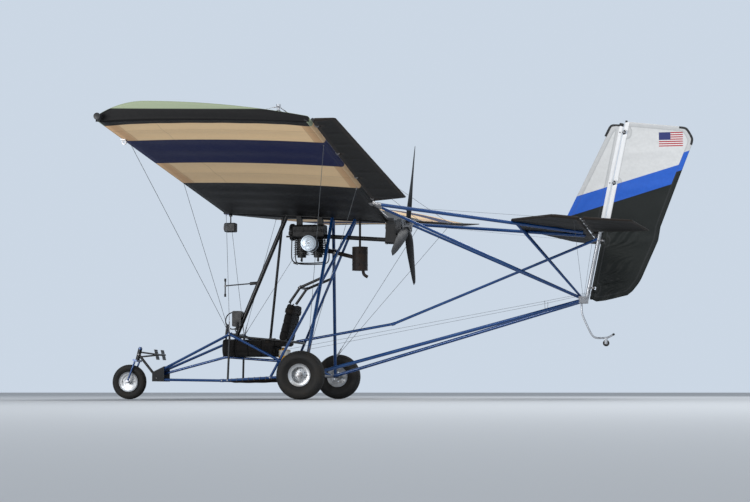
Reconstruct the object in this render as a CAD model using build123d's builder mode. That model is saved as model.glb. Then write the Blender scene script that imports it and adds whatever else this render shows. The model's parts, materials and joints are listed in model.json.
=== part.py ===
from build123d import *
from math import cos, radians, sin
import os

os.makedirs("parts", exist_ok=True)

# Single-seat wire-braced ultralight aircraft, millimetres, parked on its three wheels.
# +X points aft, +Y to the right wing, +Z up. Stations along X are counted from the main axle
# and moved by AXLE_X, so that the origin lies on the ground under the middle of the aircraft.

# Wheels and axles
TRACK = 1702
MAIN_TYRE_R = 222
MAIN_TYRE_WIDTH = 170
MAIN_RIM_R = 95
MAIN_RIM_WIDTH = 120
NOSE_WHEEL_X = -1891
NOSE_TYRE_R = 168
NOSE_TYRE_WIDTH = 98
NOSE_RIM_R = 88
NOSE_RIM_WIDTH = 76
AXLE_R = 12.7
NOSE_AXLE_R = 9
HUB_WALL = 12
RIM_LIP = 9
LUG_COUNT = 6
LUG_R = 6
BEARING_GAP = 0.05
END_GAP = 0.5

# Tubes of the airframe
ROOT_TUBE_R = 28
SPAR_R = 25.4
PLATE_WALL = 3
CAN_WALL = 2
REAR_SPAR_R = 19
FRAME_R = 12.7
SLEEVE_WALL = 3
BOOM_R = 16
STRUT_R = 16
RAIL_R = 10
WIRE_R = 2

# Wing
HALF_SPAN = 4200
SAIL_ROOT_Y = 42
TIP_RUN = 350
SAIL_WALL = 3
ROOT_LE_X = -920
ROOT_LE_Z = 1806
TIP_LE_X = -765
TIP_LE_Z = 2085
ROOT_CHORD = 1552
ROOT_INCIDENCE = 4.0
TIP_CHORD = 1564
TIP_INCIDENCE = 1.8
CROWN = 178
TIP_CROWN = 128
CROWN_PLACE = 0.22
UNDERCAMBER = 14
NOSE_SLOPE = 40
SPAR_STUB = 65
ROOT_TUBE_FRONT_X = -950
MOUTH_DEPTH = 4
ROOT_TUBE_REAR_X = 712
KINGPOST_X = -420
KINGPOST_TOP_Z = 2820
KINGPOST_R = 16
KINGPOST_CAP = 20
CAP_LIP = 6

# Ailerons
AILERON_ROOT_Y = 1035
AILERON_CUT_Y = 1250
AILERON_TIP_Y = 4180
AILERON_ROOT_CHORD = 330
AILERON_TIP_CHORD = 170
HINGE_TUBE_R = 11
HINGE_GAP = 8
HINGE_PLAY = 0.1
EYE_WALL = 7
EYE_LENGTH = 14
EYE_CLEARANCE = 7
EYE_STEM_R = 6
AILERON_EYES = (1150, 2100, 3050, 4000)
PANEL_REACH = 600

# Pod frame
KNEE_X = -820
KNEE_Y = 270
KNEE_Z = 615
SOCKET_X = -1640
SOCKET_Y = 45
SOCKET_LENGTH = 125
SOCKET_WALL = 5
SOCKET_SEAT = 8
UPPER_SOCKET_Z = 243
LOWER_SOCKET_Z = 190
CENTRE_SOCKET_Z = 222
UPPER_AXLE_Y = 553
LOWER_AXLE_Y = 512
BEND_X = -890
BEND_Z = 178
STRUT_AXLE_Y = 700
STRUT_TOP_X = 118
STRUT_TOP_Y = 22
DIAGONAL_TOP_X = 345
DIAGONAL_FOOT_X = -392
DOWN_TUBE_TOP_X = -330
SIDE_STRUT_TOP_X = -375
SIDE_STRUT_FOOT_X = -540
CENTRE_BEND_X = -925
CENTRE_BEND_Z = 405
CENTRE_END_X = -300
CENTRE_END_Z = 358
RAIL_Y = 200
RAIL_FRONT_Z = 600
REAR_BAR_X = -232
REAR_BAR_Z = 542
SUPPORT_Y = 140
SUPPORT_FOOT_X = -272
SUPPORT_FOOT_Z = 912
SUPPORT_BEND_X = -168
SUPPORT_BEND_Z = 1058

# Nose gear
HEAD_X = -1800
HEAD_Z = 432
HEAD_RAKE = 14
HEAD_LENGTH = 100
HEAD_R = 20
STEERER_R = 12.5
CROWN_HEIGHT = 18
BLADE_Y = 72
BLADE_R = 9

# Seat, tray and fittings in the pod
SEAT_WIDTH = 372
SEAT_FRONT_X = -915
SEAT_BASE_END_X = -425
SEAT_SHELF_X = -300
SHELF_WALL = 42
SEAT_BASE_TOP_Z = 555
SEAT_BASE_DEPTH = 141
SEAT_BACK_TOP_Z = 900
SEAT_BACK_LEAN = 14
SEAT_BACK_THICKNESS = 62
TRAY_WALL = 4
TRAY_REAR_X = -45
SUPPORT_TOP_Z = 1157

# Engine and drive
ENGINE_X = -105
ENGINE_LENGTH = 300
CASE_TOP_Z = 1662
CASE_HEIGHT = 130
CASE_WIDTH = 180
CYLINDER_SPACING = 160
BARREL_R = 48
FIN_SIZE = 134
FIN_WALL = 3
FIN_PITCH = 17
FIN_COUNT = 9
HEAD_CAP = 26
FILTER_R = 73
FILTER_LENGTH = 100
PROP_HUB_X = 840
PROP_HUB_Z = 1622
PROP_R = 800
BLADE_COUNT = 3
BLADE_START = 8
PULLEY_R = 85
PULLEY_WIDTH = 44
PROP_SHAFT_R = 14
DRIVE_DROP = 125
SMALL_PULLEY_R = 28
GUARD_WALL = 5
DRIVE_TUBE_R = 20
SPINNER_PCD = 108
SPINNER_HOLES = 6
SPINNER_HOLE_R = 3.2

# Controls and fittings in the pod
PEDAL_X = -1586
PEDAL_Y = 150
PEDAL_Z = 428
PEDAL_WIDTH = 90
PEDAL_HEIGHT = 100
PEDAL_WALL = 6
LEVER_X = -765
STICK_X = -950
STICK_TOP_Z = 720
LEVER_LENGTH = 140
GRIP_R = 15
ROD_R = 6
POD_Z = 770
POD_SIZE = (86, 120, 150)
POD_SET = 58
PITOT_X = -940
PITOT_Z = 1090
PITOT_BAR = (-105, 70)
LIGHT_X = -889
LIGHT_Z = 1652
LIGHT_SIZE = (112, 90, 88)
LIGHT_ROUNDING = 12
BOTTLE_X = -345
BOTTLE_LENGTH = 90
BOTTLE_WIDTH = 150
BOTTLE_HEIGHT = 100
CAP_R = 22
FILTER_Z = 1466
FILTER_STAND = 125
MUFFLER_X = 382
MUFFLER_TOP_Z = 1442
MUFFLER_LOW_Z = 1226
MUFFLER_R = 74
CAN_END = 4
PORT_Z = 1420
PIPE_R = 19
PIPE_Y = 88
PIPE_TURN_X = 60

# Tail
BOOM_FRONT_X = 712
BOOM_FRONT_Z = 1749
UPPER_BOOM_Y = 990
V_TUBE_Y = 925
BOOM_REAR_X = 2505
UPPER_BOOM_REAR_Y = 175
UPPER_BOOM_REAR_Z = 1536
JOINT_X = 2495
JOINT_Z = 918
V_TUBE_REAR_Y = 42
LOWER_BOOM_REAR_Y = 78
LOWER_BOOM_AXLE_Y = 590
MID_BEND_X = 705
MID_BEND_Z = 712
MID_REAR_Z = 1492
STAB_FRONT_X = 1865
STAB_FRONT_Y = 435
STAB_TIP_X = 2310
STAB_TIP_Y = 1330
STAB_REAR_X = 2548
STAB_THICKNESS = 28
BRACE_TOP_Z = 1640
ELEVATOR_HINGE_BACK = 28
ELEVATOR_ROOT_Y = 60
ELEVATOR_CORNER_X = 3126
ELEVATOR_CORNER_Y = 418
ELEVATOR_TIP_X = 3006
ELEVATOR_DROOP = 4.0
ELEVATOR_EYES = (300, 760, 1220)
SKIN_WALL = 3
SKIN_START = 30
RUDDER_HINGE_FOOT_X = 2566
RUDDER_HINGE_FOOT_Z = 935
RUDDER_HINGE_TOP_X = 2905
RUDDER_HINGE_TOP_Z = 2560
RUDDER_CORNER_X = 3522
# Rudder outline behind the hinge, as places along X and heights.
RUDDER_OUTLINE = (
    (3453, 2516),
    (RUDDER_CORNER_X, 2392),
    (3379, 2027),
    (3210, 1590),
    (3188, 1466),
    (3018, 1087),
    (2948, 1000),
    (2900, 962),
    (2700, 915),
    (2612, 906),
)
RUDDER_HEEL = 7
RUDDER_EYES = (0.06, 0.33, 0.66, 0.95)
RUDDER_HORN_Y = 90
RUDDER_HORN_RISE = 60
HORN_LENGTH = 48
HORN_WALL = 5
FIN_RISE = 0.1
POST_R = 19
FIN_FRONT_X = 2292
FIN_TOP_X = 2775
FIN_TOP_Z = 2556
TAIL_WHEEL_X = 2700
TAIL_WHEEL_Z = 521
TAIL_WHEEL_R = 30
TAIL_WHEEL_WIDTH = 22
TAIL_PIN_R = 4
CHEEK_WALL = 4
FORK_WIDTH = 26
FORK_LENGTH = 64
FORK_CROWN_Z = 46
FORK_CROWN_HEIGHT = 16
# Path of the tail skid, as places along X and heights.
SKID_POINTS = (
    (2478, 900),
    (2483, 799),
    (2523, 693),
    (2573, 607),
    (2627, 567),
    (2704, 568),
    (2771, 602),
)
SKID_R = 9
POST_AHEAD = 40
RUDDER_CHORD = 960
SURFACE_THICKNESS = 26
SURFACE_EDGE = 8
JOINT_SIZE = (76, 200, 60)
JOINT_RISE = 4
SOCKET_DEPTH = 50
COLLAR_LAP = 20
SOCKET_BACK = 6
TIE_DOWN_Y = 3550
TIE_DOWN_R = 11
STAY_INNER_Y = 1750
STAY_OUTER_Y = 3450
STAY_ROOT_Y = 70
STAY_FOOT_Z = 400
STAY_SPACING = 30
TIE_DOWN_STEM = 10
TIE_DOWN_WALL = 8
SADDLE_SIZE = (36, 50, 12)

AXLE_X = -(NOSE_WHEEL_X - NOSE_TYRE_R + RUDDER_CORNER_X) / 2
SIDES = {-1: "left", 1: "right"}


def at(x, y, z):
    """Point at a station counted from the main axle."""
    return Vector(AXLE_X + x, y, z)


def between(start, end, share):
    """Point part of the way along a line."""
    return start + (end - start) * share


def reach_x(start, end, x):
    """Point of a line at a station."""
    return between(start, end, (AXLE_X + x - start.X) / (end.X - start.X))


def reach_z(start, end, z):
    """Point of a line at a height."""
    return between(start, end, (z - start.Z) / (end.Z - start.Z))


def mirrored(point, side):
    """The same point on the left (-1) or right (1) side."""
    return Vector(point.X, side * abs(point.Y), point.Z)


def tube(start, end, radius, mode=Mode.ADD):
    """Straight round tube between two points, added to the part being built."""
    run = end - start
    with Locations(Plane(origin=start, z_dir=run)):
        Cylinder(radius, run.length, align=(Align.CENTER, Align.CENTER, Align.MIN), mode=mode)


def bent_tube(points, radius):
    """Round tube through several points, with a sleeve over each bend."""
    for start, end in zip(points, points[1:]):
        tube(start, end, radius)
    for before, corner, after in zip(points, points[1:], points[2:]):
        way = (after - before).normalized() * (radius * 1.4)
        tube(corner - way, corner + way, radius + SLEEVE_WALL)


def cut(*parts):
    """Cope the part being built round other pieces."""
    for part in parts:
        add(part, mode=Mode.SUBTRACT)


def save(part, label):
    """Label a finished piece and write its file."""
    part.label = label
    export_step(part, f"parts/{label}.step")


# Wing reference lines: the two spars of the right wing, from the root tube to the tip.
def chord_direction(incidence):
    """Way along a chord, its rear end lowered by the incidence in degrees."""
    return Vector(cos(radians(incidence)), 0, -sin(radians(incidence)))


le_root = at(ROOT_LE_X, 0, ROOT_LE_Z)
le_tip = at(TIP_LE_X, HALF_SPAN, TIP_LE_Z)
te_root = le_root + chord_direction(ROOT_INCIDENCE) * ROOT_CHORD
te_tip = le_tip + chord_direction(TIP_INCIDENCE) * TIP_CHORD
root_slope = (te_root.Z - le_root.Z) / (te_root.X - le_root.X)


def root_axis(x):
    """Point on the root tube's centre line."""
    return Vector(AXLE_X + x, 0, le_root.Z + root_slope * (AXLE_X + x - le_root.X))


def spar_at(root, tip, y):
    """Point on a spar's centre line at a place along the span."""
    return between(root, tip, y / HALF_SPAN)


# Root tube: the keel of the wing, open at its front end, with a collar where the spars meet it.
with BuildPart() as root_tube:
    tube(root_axis(ROOT_TUBE_FRONT_X), root_axis(ROOT_TUBE_REAR_X), ROOT_TUBE_R)
    mouth_end = root_axis(ROOT_TUBE_FRONT_X + MOUTH_DEPTH)
    tube(root_axis(ROOT_TUBE_FRONT_X), mouth_end, ROOT_TUBE_R - PLATE_WALL, Mode.SUBTRACT)
save(root_tube.part, "root_tube")

# Kingpost: stands on the root tube and carries the upper stays.
kingpost_top = at(KINGPOST_X, 0, KINGPOST_TOP_Z)
with BuildPart() as kingpost:
    tube(root_axis(KINGPOST_X), kingpost_top, KINGPOST_R)
    tube(kingpost_top, kingpost_top + Vector(0, 0, KINGPOST_CAP), KINGPOST_R + CAP_LIP)
    cut(root_tube.part)
save(kingpost.part, "kingpost")

# Spars: one tube along each leading edge and one along each rear edge of the sails.
with BuildPart() as spars:
    for side in SIDES:
        tube(le_root, mirrored(le_tip + (le_tip - le_root).normalized() * SPAR_STUB, side), SPAR_R)
        tube(te_root, mirrored(spar_at(te_root, te_tip, HALF_SPAN - SAIL_WALL), side), REAR_SPAR_R)
    cut(root_tube.part)
save(spars.part, "spars")

# Sails: a cambered section lofted from the root to the tip, where its crown falls away.
NOSE_R = SPAR_R + SAIL_WALL
REAR_R = REAR_SPAR_R + SAIL_WALL


def sail_section(y, crown):
    """Section of the right sail at a place along the span, its nose wrapped round the spar."""
    nose = spar_at(le_root, le_tip, y)
    rear = spar_at(te_root, te_tip, y)
    chord = (rear - nose).length
    slope = 180 - NOSE_SLOPE
    shoulder = (NOSE_R * cos(radians(slope)), NOSE_R * sin(radians(slope)))
    peak = (CROWN_PLACE * chord, crown)
    with BuildSketch(Plane(origin=nose, x_dir=rear - nose, z_dir=(0, -1, 0))) as section:
        with BuildLine():
            TangentArc(peak, shoulder, tangent=(-1, 0))
            ThreePointArc(shoulder, (-NOSE_R * cos(radians(25)), -NOSE_R * sin(radians(25))), (0, -NOSE_R))
            ThreePointArc((0, -NOSE_R), (chord / 2, UNDERCAMBER - REAR_R), (chord, -REAR_R))
            ThreePointArc((chord, -REAR_R), (chord + REAR_R, 0), (chord, REAR_R))
            TangentArc(peak, (chord, REAR_R), tangent=(1, 0))
        make_face()
    return section.sketch


with BuildPart() as wing_right:
    loft(
        sections=[
            sail_section(SAIL_ROOT_Y, CROWN),
            sail_section(HALF_SPAN - TIP_RUN, CROWN),
            sail_section(HALF_SPAN, TIP_CROWN),
        ],
        ruled=True,
    )
    tube(le_root, le_tip + (le_tip - le_root).normalized() * SPAR_STUB, SPAR_R, Mode.SUBTRACT)
    tube(te_root, spar_at(te_root, te_tip, HALF_SPAN - SAIL_WALL), REAR_SPAR_R, Mode.SUBTRACT)
save(wing_right.part, "wing_right")

with BuildPart() as wing_left:
    mirror(wing_right.part, about=Plane.XZ)
save(wing_left.part, "wing_left")

# Ailerons: a torque tube with a tapered panel behind it, notched round the hinge eyes.
HINGE_BACK = REAR_R + HINGE_GAP + HINGE_TUBE_R
spar_chord = (te_tip - le_tip).normalized()
hinge_root = spar_at(te_root, te_tip, AILERON_ROOT_Y) + spar_chord * HINGE_BACK
hinge_tip = spar_at(te_root, te_tip, AILERON_TIP_Y) + spar_chord * HINGE_BACK
hinge_line = (hinge_tip - hinge_root).normalized()


def panel_end(plane, chord, wall=0):
    """End section of a control surface, or of the space inside skins of a given wall."""
    front = SURFACE_THICKNESS / 2 - wall
    rear = SURFACE_EDGE / 2 - wall
    with BuildSketch(plane) as section:
        with BuildLine():
            Polyline((0, front), (chord, rear), (chord, -rear), (0, -front), close=True)
        make_face()
    return section.sketch


def notch_eyes(start, end, places):
    """Cut a panel back round each eye on its hinge tube."""
    way = (end - start).normalized()
    for eye in places:
        half = way * (EYE_LENGTH / 2 + EYE_CLEARANCE)
        tube(eye - half, eye + half, HINGE_TUBE_R + EYE_WALL + EYE_CLEARANCE, Mode.SUBTRACT)


def aileron_eye(y):
    """Centre of a hinge eye of the right aileron."""
    return between(hinge_root, hinge_tip, (y - AILERON_ROOT_Y) / (AILERON_TIP_Y - AILERON_ROOT_Y))


root_way = chord_direction(ROOT_INCIDENCE)
tip_way = chord_direction(-TIP_INCIDENCE)
root_edge = hinge_root + root_way * AILERON_ROOT_CHORD
tip_edge = hinge_tip + tip_way * AILERON_TIP_CHORD
with BuildPart() as aileron_right:
    loft(
        sections=[
            panel_end(Plane(origin=hinge_root, x_dir=root_way, z_dir=(0, -1, 0)), AILERON_ROOT_CHORD),
            panel_end(Plane(origin=hinge_tip, x_dir=tip_way, z_dir=(0, -1, 0)), AILERON_TIP_CHORD),
        ],
        ruled=True,
    )
    with BuildSketch(Plane.XY.offset(hinge_root.Z - CROWN)):
        with BuildLine():
            Polyline(
                (hinge_root.X - REAR_R, hinge_root.Y),
                (root_edge.X + EYE_WALL, AILERON_CUT_Y),
                (tip_edge.X + EYE_WALL, hinge_tip.Y),
                (hinge_tip.X - REAR_R, hinge_tip.Y),
                close=True,
            )
        make_face()
    extrude(amount=PANEL_REACH, mode=Mode.INTERSECT)
    notch_eyes(hinge_root, hinge_tip, [aileron_eye(y) for y in AILERON_EYES])
    tube(hinge_root, hinge_tip, HINGE_TUBE_R)
save(aileron_right.part, "aileron_right")

with BuildPart() as aileron_left:
    mirror(aileron_right.part, about=Plane.XZ)
save(aileron_left.part, "aileron_left")

# Axle and main wheels: a straight tube under the pod, its ends carrying the wheels.
axle_end = TRACK / 2 + MAIN_RIM_WIDTH / 2 + 8
with BuildPart() as main_axle:
    tube(at(0, -axle_end, MAIN_TYRE_R), at(0, axle_end, MAIN_TYRE_R), AXLE_R)
    for side in SIDES:
        inner = TRACK / 2 - MAIN_RIM_WIDTH / 2 - END_GAP
        tube(at(0, side * (inner - 14), MAIN_TYRE_R), at(0, side * inner, MAIN_TYRE_R), AXLE_R + 8)
        outer = TRACK / 2 + MAIN_RIM_WIDTH / 2 + END_GAP
        tube(at(0, side * outer, MAIN_TYRE_R), at(0, side * (outer + 10), MAIN_TYRE_R), AXLE_R + 6)
save(main_axle.part, "main_axle")


def rim_profile(radius, width, axle_r):
    """Half section of a dished rim, radius up, width along the axle."""
    half = width / 2
    bore = axle_r + BEARING_GAP
    hub = axle_r + HUB_WALL
    lip = radius + 8
    well = radius - 14
    return [
        (bore, -half),
        (hub, -half),
        (hub, -8),
        (well - 8, -8 + half / 5),
        (well - 8, -half + 10),
        (radius - 4, -half + 6),
        (lip, -half),
        (lip, -half + 4),
        (radius, -half + RIM_LIP),
        (well, -half + 18),
        (well, half - 18),
        (radius, half - RIM_LIP),
        (lip, half - 4),
        (lip, half),
        (radius - 4, half - 6),
        (well - 8, half - 10),
        (well - 8, 8 + half / 5),
        (hub, 8),
        (hub, half),
        (bore, half),
    ]


def rim(centre, radius, width, axle_r, bolts_r):
    """Wheel rim with a hub, two lips and a ring of lug holes, spun round its axle."""
    outward = 1 if centre.Y >= 0 else -1
    axle_plane = Plane(origin=centre, x_dir=(0, 0, 1), z_dir=(outward, 0, 0))
    with BuildPart() as wheel_rim:
        with BuildSketch(axle_plane) as profile:
            with BuildLine():
                Polyline(*rim_profile(radius, width, axle_r), close=True)
            make_face()
        revolve(profile.sketch, axis=Axis(centre, (0, 1, 0)))
        with BuildSketch(Plane(origin=centre, z_dir=(0, 1, 0))) as lugs:
            with PolarLocations(bolts_r, LUG_COUNT):
                Circle(LUG_R)
        extrude(lugs.sketch, amount=width / 2, both=True, mode=Mode.SUBTRACT)
    return wheel_rim.part


def tyre(centre, outer_r, width, rim_r, rim_width, wheel_rim):
    """Balloon tyre whose beads sit on the rim, shaped round its lips."""
    bead = rim_width / 2 - RIM_LIP
    half = width / 2
    belly = (outer_r + rim_r) / 2
    shoulder = outer_r - (outer_r - rim_r) * 0.16
    with BuildPart() as ring:
        with BuildSketch(Plane(origin=centre, x_dir=(0, 0, 1), z_dir=(1, 0, 0))) as profile:
            with BuildLine():
                Line((rim_r, -bead), (rim_r, bead))
                ThreePointArc((rim_r, bead), (belly, half), (shoulder, half * 0.8))
                ThreePointArc((shoulder, half * 0.8), (outer_r, 0), (shoulder, -half * 0.8))
                ThreePointArc((shoulder, -half * 0.8), (belly, -half), (rim_r, -bead))
            make_face()
        revolve(profile.sketch, axis=Axis(centre, (0, 1, 0)))
        cut(wheel_rim)
    return ring.part


for side, name in SIDES.items():
    wheel_centre = at(0, side * TRACK / 2, MAIN_TYRE_R)
    main_rim = rim(wheel_centre, MAIN_RIM_R, MAIN_RIM_WIDTH, AXLE_R, MAIN_RIM_R * 0.48)
    save(main_rim, f"rim_{name}")
    main_tyre = tyre(wheel_centre, MAIN_TYRE_R, MAIN_TYRE_WIDTH, MAIN_RIM_R, MAIN_RIM_WIDTH, main_rim)
    save(main_tyre, f"tyre_{name}")

nose_centre = at(NOSE_WHEEL_X, 0, NOSE_TYRE_R)
nose_rim = rim(nose_centre, NOSE_RIM_R, NOSE_RIM_WIDTH, NOSE_AXLE_R, NOSE_RIM_R * 0.48)
save(nose_rim, "rim_nose")
save(tyre(nose_centre, NOSE_TYRE_R, NOSE_TYRE_WIDTH, NOSE_RIM_R, NOSE_RIM_WIDTH, nose_rim), "tyre_nose")

# Side tubes of the pod: from the nose bracket over the knees, and low past the bend, to the axle.
knee = at(KNEE_X, KNEE_Y, KNEE_Z)
upper_socket = at(SOCKET_X + SOCKET_SEAT, SOCKET_Y, UPPER_SOCKET_Z)
lower_socket = at(SOCKET_X + SOCKET_SEAT, SOCKET_Y, LOWER_SOCKET_Z)
centre_socket = at(SOCKET_X + SOCKET_SEAT, 0, CENTRE_SOCKET_Z)
bend = at(BEND_X, KNEE_Y, BEND_Z)
upper_foot = at(0, UPPER_AXLE_Y, MAIN_TYRE_R)
lower_foot = at(0, LOWER_AXLE_Y, MAIN_TYRE_R)

# Nose bracket: a folded socket, open at the back, that takes the front ends of the frame tubes.
socket_rear = SOCKET_X + SOCKET_LENGTH
socket_width = reach_x(lower_socket, bend, socket_rear).Y + FRAME_R
socket_top = reach_x(upper_socket, knee, socket_rear).Z + FRAME_R + 3
socket_floor = reach_x(lower_socket, bend, socket_rear).Z - FRAME_R


def socket_section(x, half_width, low, high):
    """Cross section of the nose bracket, as a rectangle across the aircraft."""
    with BuildSketch(Plane(origin=at(x, 0, (low + high) / 2), x_dir=(0, 1, 0), z_dir=(1, 0, 0))) as section:
        Rectangle(2 * half_width, high - low)
    return section.sketch


mouth_low = LOWER_SOCKET_Z - FRAME_R
mouth_high = UPPER_SOCKET_Z + FRAME_R
with BuildPart() as nose_bracket:
    loft(
        sections=[
            socket_section(SOCKET_X - SOCKET_WALL, SOCKET_Y + FRAME_R + SOCKET_WALL,
                           mouth_low - SOCKET_WALL, mouth_high + SOCKET_WALL),
            socket_section(socket_rear, socket_width + SOCKET_WALL,
                           socket_floor - SOCKET_WALL, socket_top + SOCKET_WALL),
        ],
        ruled=True,
    )
    loft(
        sections=[
            socket_section(SOCKET_X, SOCKET_Y + FRAME_R, mouth_low, mouth_high),
            socket_section(socket_rear + 1, socket_width, socket_floor, socket_top),
        ],
        ruled=True,
        mode=Mode.SUBTRACT,
    )
save(nose_bracket.part, "nose_bracket")

# Head tube: the steering bearing, held ahead of the bracket by a short arm.
rake = Vector(sin(radians(HEAD_RAKE)), 0, cos(radians(HEAD_RAKE)))
head = at(HEAD_X, 0, HEAD_Z)
head_low = head - rake * (HEAD_LENGTH / 2)
head_high = head + rake * (HEAD_LENGTH / 2)
with BuildPart() as head_tube:
    tube(head, at(SOCKET_X - SOCKET_WALL, 0, mouth_high - STEERER_R), STEERER_R)
    tube(head_low, head_high, HEAD_R)
    tube(head_low, head_high, STEERER_R + BEARING_GAP, Mode.SUBTRACT)
    cut(nose_bracket.part)
save(head_tube.part, "head_tube")

# Nose fork: steerer, crown and two blades that carry the nose axle.
crown_top = head_low - rake * END_GAP
crown_low = crown_top - rake * CROWN_HEIGHT
with BuildPart() as nose_fork:
    tube(crown_low, head_high + rake * 26, STEERER_R)
    tube(head_high + rake * END_GAP, head_high + rake * 16, HEAD_R)
    with Locations(Plane(origin=crown_low, x_dir=(0, 1, 0), z_dir=rake)):
        Box(2 * (BLADE_Y + BLADE_R + 3), 42, CROWN_HEIGHT, align=(Align.CENTER, Align.CENTER, Align.MIN))
    for side in SIDES:
        tube(crown_low + Vector(0, side * BLADE_Y, 0), nose_centre + Vector(0, side * BLADE_Y, 0), BLADE_R)
        tube(
            nose_centre + Vector(0, side * (BLADE_Y - 7), 0),
            nose_centre + Vector(0, side * (BLADE_Y + 12), 0),
            NOSE_AXLE_R + 7,
        )
        tube(
            nose_centre + Vector(0, side * (NOSE_RIM_WIDTH / 2 + END_GAP), 0),
            nose_centre + Vector(0, side * BLADE_Y, 0),
            NOSE_AXLE_R + 4,
        )
    tube(nose_centre - Vector(0, BLADE_Y, 0), nose_centre + Vector(0, BLADE_Y, 0), NOSE_AXLE_R)
save(nose_fork.part, "nose_fork")

# Upper and lower side tubes, each bent once.
with BuildPart() as upper_tubes:
    for side in SIDES:
        bent_tube([mirrored(point, side) for point in (upper_socket, knee, upper_foot)], FRAME_R)
    cut(nose_bracket.part, main_axle.part)
save(upper_tubes.part, "upper_side_tubes")

with BuildPart() as lower_tubes:
    for side in SIDES:
        bent_tube([mirrored(point, side) for point in (lower_socket, bend, lower_foot)], FRAME_R)
    cut(nose_bracket.part, main_axle.part)
save(lower_tubes.part, "lower_side_tubes")

# Knee bar and front posts: the bar ties the knees together, a post hangs under each.
knee_left = mirrored(knee, -1)
with BuildPart() as knee_frame:
    tube(knee_left, knee, FRAME_R)
    for side in SIDES:
        foot = mirrored(reach_x(bend, lower_foot, KNEE_X - 12), side)
        tube(mirrored(knee, side), foot, RAIL_R)
    cut(upper_tubes.part, lower_tubes.part)
save(knee_frame.part, "knee_frame")

# Centre tube: from the nose bracket up to the seat front and back under the seat.
centre_bend = at(CENTRE_BEND_X, 0, CENTRE_BEND_Z)
centre_end = at(CENTRE_END_X, 0, CENTRE_END_Z)
with BuildPart() as centre_tube:
    bent_tube([centre_socket, centre_bend, centre_end], FRAME_R)
    cut(nose_bracket.part, head_tube.part)
save(centre_tube.part, "centre_tube")

# Pylon struts: an inverted V from the root tube to the axle, and a second pair raked forward
# from behind the engine to the lower side tubes.
strut_top = Vector(AXLE_X + STRUT_TOP_X, STRUT_TOP_Y, root_axis(STRUT_TOP_X).Z)
strut_foot = at(0, STRUT_AXLE_Y, MAIN_TYRE_R)
diagonal_top = Vector(AXLE_X + DIAGONAL_TOP_X, STRUT_TOP_Y, root_axis(DIAGONAL_TOP_X).Z)
diagonal_foot = reach_x(bend, lower_foot, DIAGONAL_FOOT_X)
with BuildPart() as pylon_struts:
    for side in SIDES:
        tube(mirrored(strut_top, side), mirrored(strut_foot, side), STRUT_R)
        tube(mirrored(diagonal_top, side), mirrored(diagonal_foot, side), FRAME_R)
    cut(root_tube.part, main_axle.part, lower_tubes.part)
save(pylon_struts.part, "pylon_struts")

# Front down tube: thick black tube from the root tube to the knee bar.
down_top = root_axis(DOWN_TUBE_TOP_X)
down_foot = at(KNEE_X, 0, KNEE_Z)
with BuildPart() as down_tube:
    tube(down_top, down_foot, STRUT_R + 5)
    cut(root_tube.part, knee_frame.part)
save(down_tube.part, "down_tube")

# Seat frame: two rails from the knee bar back to a bar between the raked pylon struts.
bar_end = reach_z(diagonal_top, diagonal_foot, REAR_BAR_Z)
rail_front = at(KNEE_X, RAIL_Y, RAIL_FRONT_Z)
rail_rear = Vector(bar_end.X, RAIL_Y, REAR_BAR_Z)
with BuildPart() as seat_frame:
    tube(mirrored(bar_end, -1), bar_end, FRAME_R)
    for side in SIDES:
        tube(mirrored(rail_front, side), mirrored(rail_rear, side), RAIL_R)
    cut(knee_frame.part, pylon_struts.part)
save(seat_frame.part, "seat_frame")

# Right seat strut: from the root tube to the right seat rail.
with BuildPart() as seat_strut:
    strut_perch = root_axis(SIDE_STRUT_TOP_X) + Vector(0, STRUT_TOP_Y, 0)
    tube(strut_perch, reach_x(rail_front, rail_rear, SIDE_STRUT_FOOT_X), FRAME_R)
    cut(root_tube.part, seat_frame.part)
save(seat_strut.part, "seat_strut")

# Seat: a base between the rails and a leaning back, both upholstered.
with BuildPart() as seat_base:
    with BuildSketch(Plane.XZ):
        with BuildLine():
            Polyline(
                (AXLE_X + SEAT_FRONT_X, SEAT_BASE_TOP_Z - SEAT_BASE_DEPTH),
                (AXLE_X + SEAT_FRONT_X, SEAT_BASE_TOP_Z + 10),
                (AXLE_X + SEAT_SHELF_X, SEAT_BASE_TOP_Z),
                (AXLE_X + SEAT_SHELF_X, SEAT_BASE_TOP_Z - SHELF_WALL),
                (AXLE_X + SEAT_BASE_END_X, SEAT_BASE_TOP_Z - SHELF_WALL),
                (AXLE_X + SEAT_BASE_END_X, SEAT_BASE_TOP_Z - SEAT_BASE_DEPTH),
                close=True,
            )
        make_face()
    extrude(amount=RAIL_Y - RAIL_R / 2, both=True)
    cut(centre_tube.part, seat_frame.part, seat_strut.part)
save(seat_base.part, "seat_base")

lean = Vector(sin(radians(SEAT_BACK_LEAN)), 0, cos(radians(SEAT_BACK_LEAN)))
back_foot = at(SEAT_SHELF_X - 36, 0, SEAT_BASE_TOP_Z)
back_length = (SEAT_BACK_TOP_Z - SEAT_BASE_TOP_Z) / cos(radians(SEAT_BACK_LEAN))
with BuildPart() as seat_back:
    with BuildSketch(Plane(origin=back_foot, x_dir=(0, 1, 0), z_dir=lean)):
        RectangleRounded(SEAT_WIDTH, SEAT_BACK_THICKNESS, SEAT_BACK_THICKNESS * 0.4)
    extrude(amount=back_length)
    cut(seat_base.part)
save(seat_back.part, "seat_back")

# Seat support: bent tubes from the seat back up to the rear diagonals, tied by a cross tube.
support_foot = at(SUPPORT_FOOT_X, SUPPORT_Y, SUPPORT_FOOT_Z)
support_bend = at(SUPPORT_BEND_X, SUPPORT_Y, SUPPORT_BEND_Z)
support_top = reach_z(diagonal_top, diagonal_foot, SUPPORT_TOP_Z)
with BuildPart() as seat_support:
    for side in SIDES:
        bent_tube([mirrored(point, side) for point in (support_foot, support_bend, support_top)], FRAME_R)
    tube(mirrored(support_bend, -1), support_bend, FRAME_R)
    cut(pylon_struts.part, seat_back.part)
save(seat_support.part, "seat_support")

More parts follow.
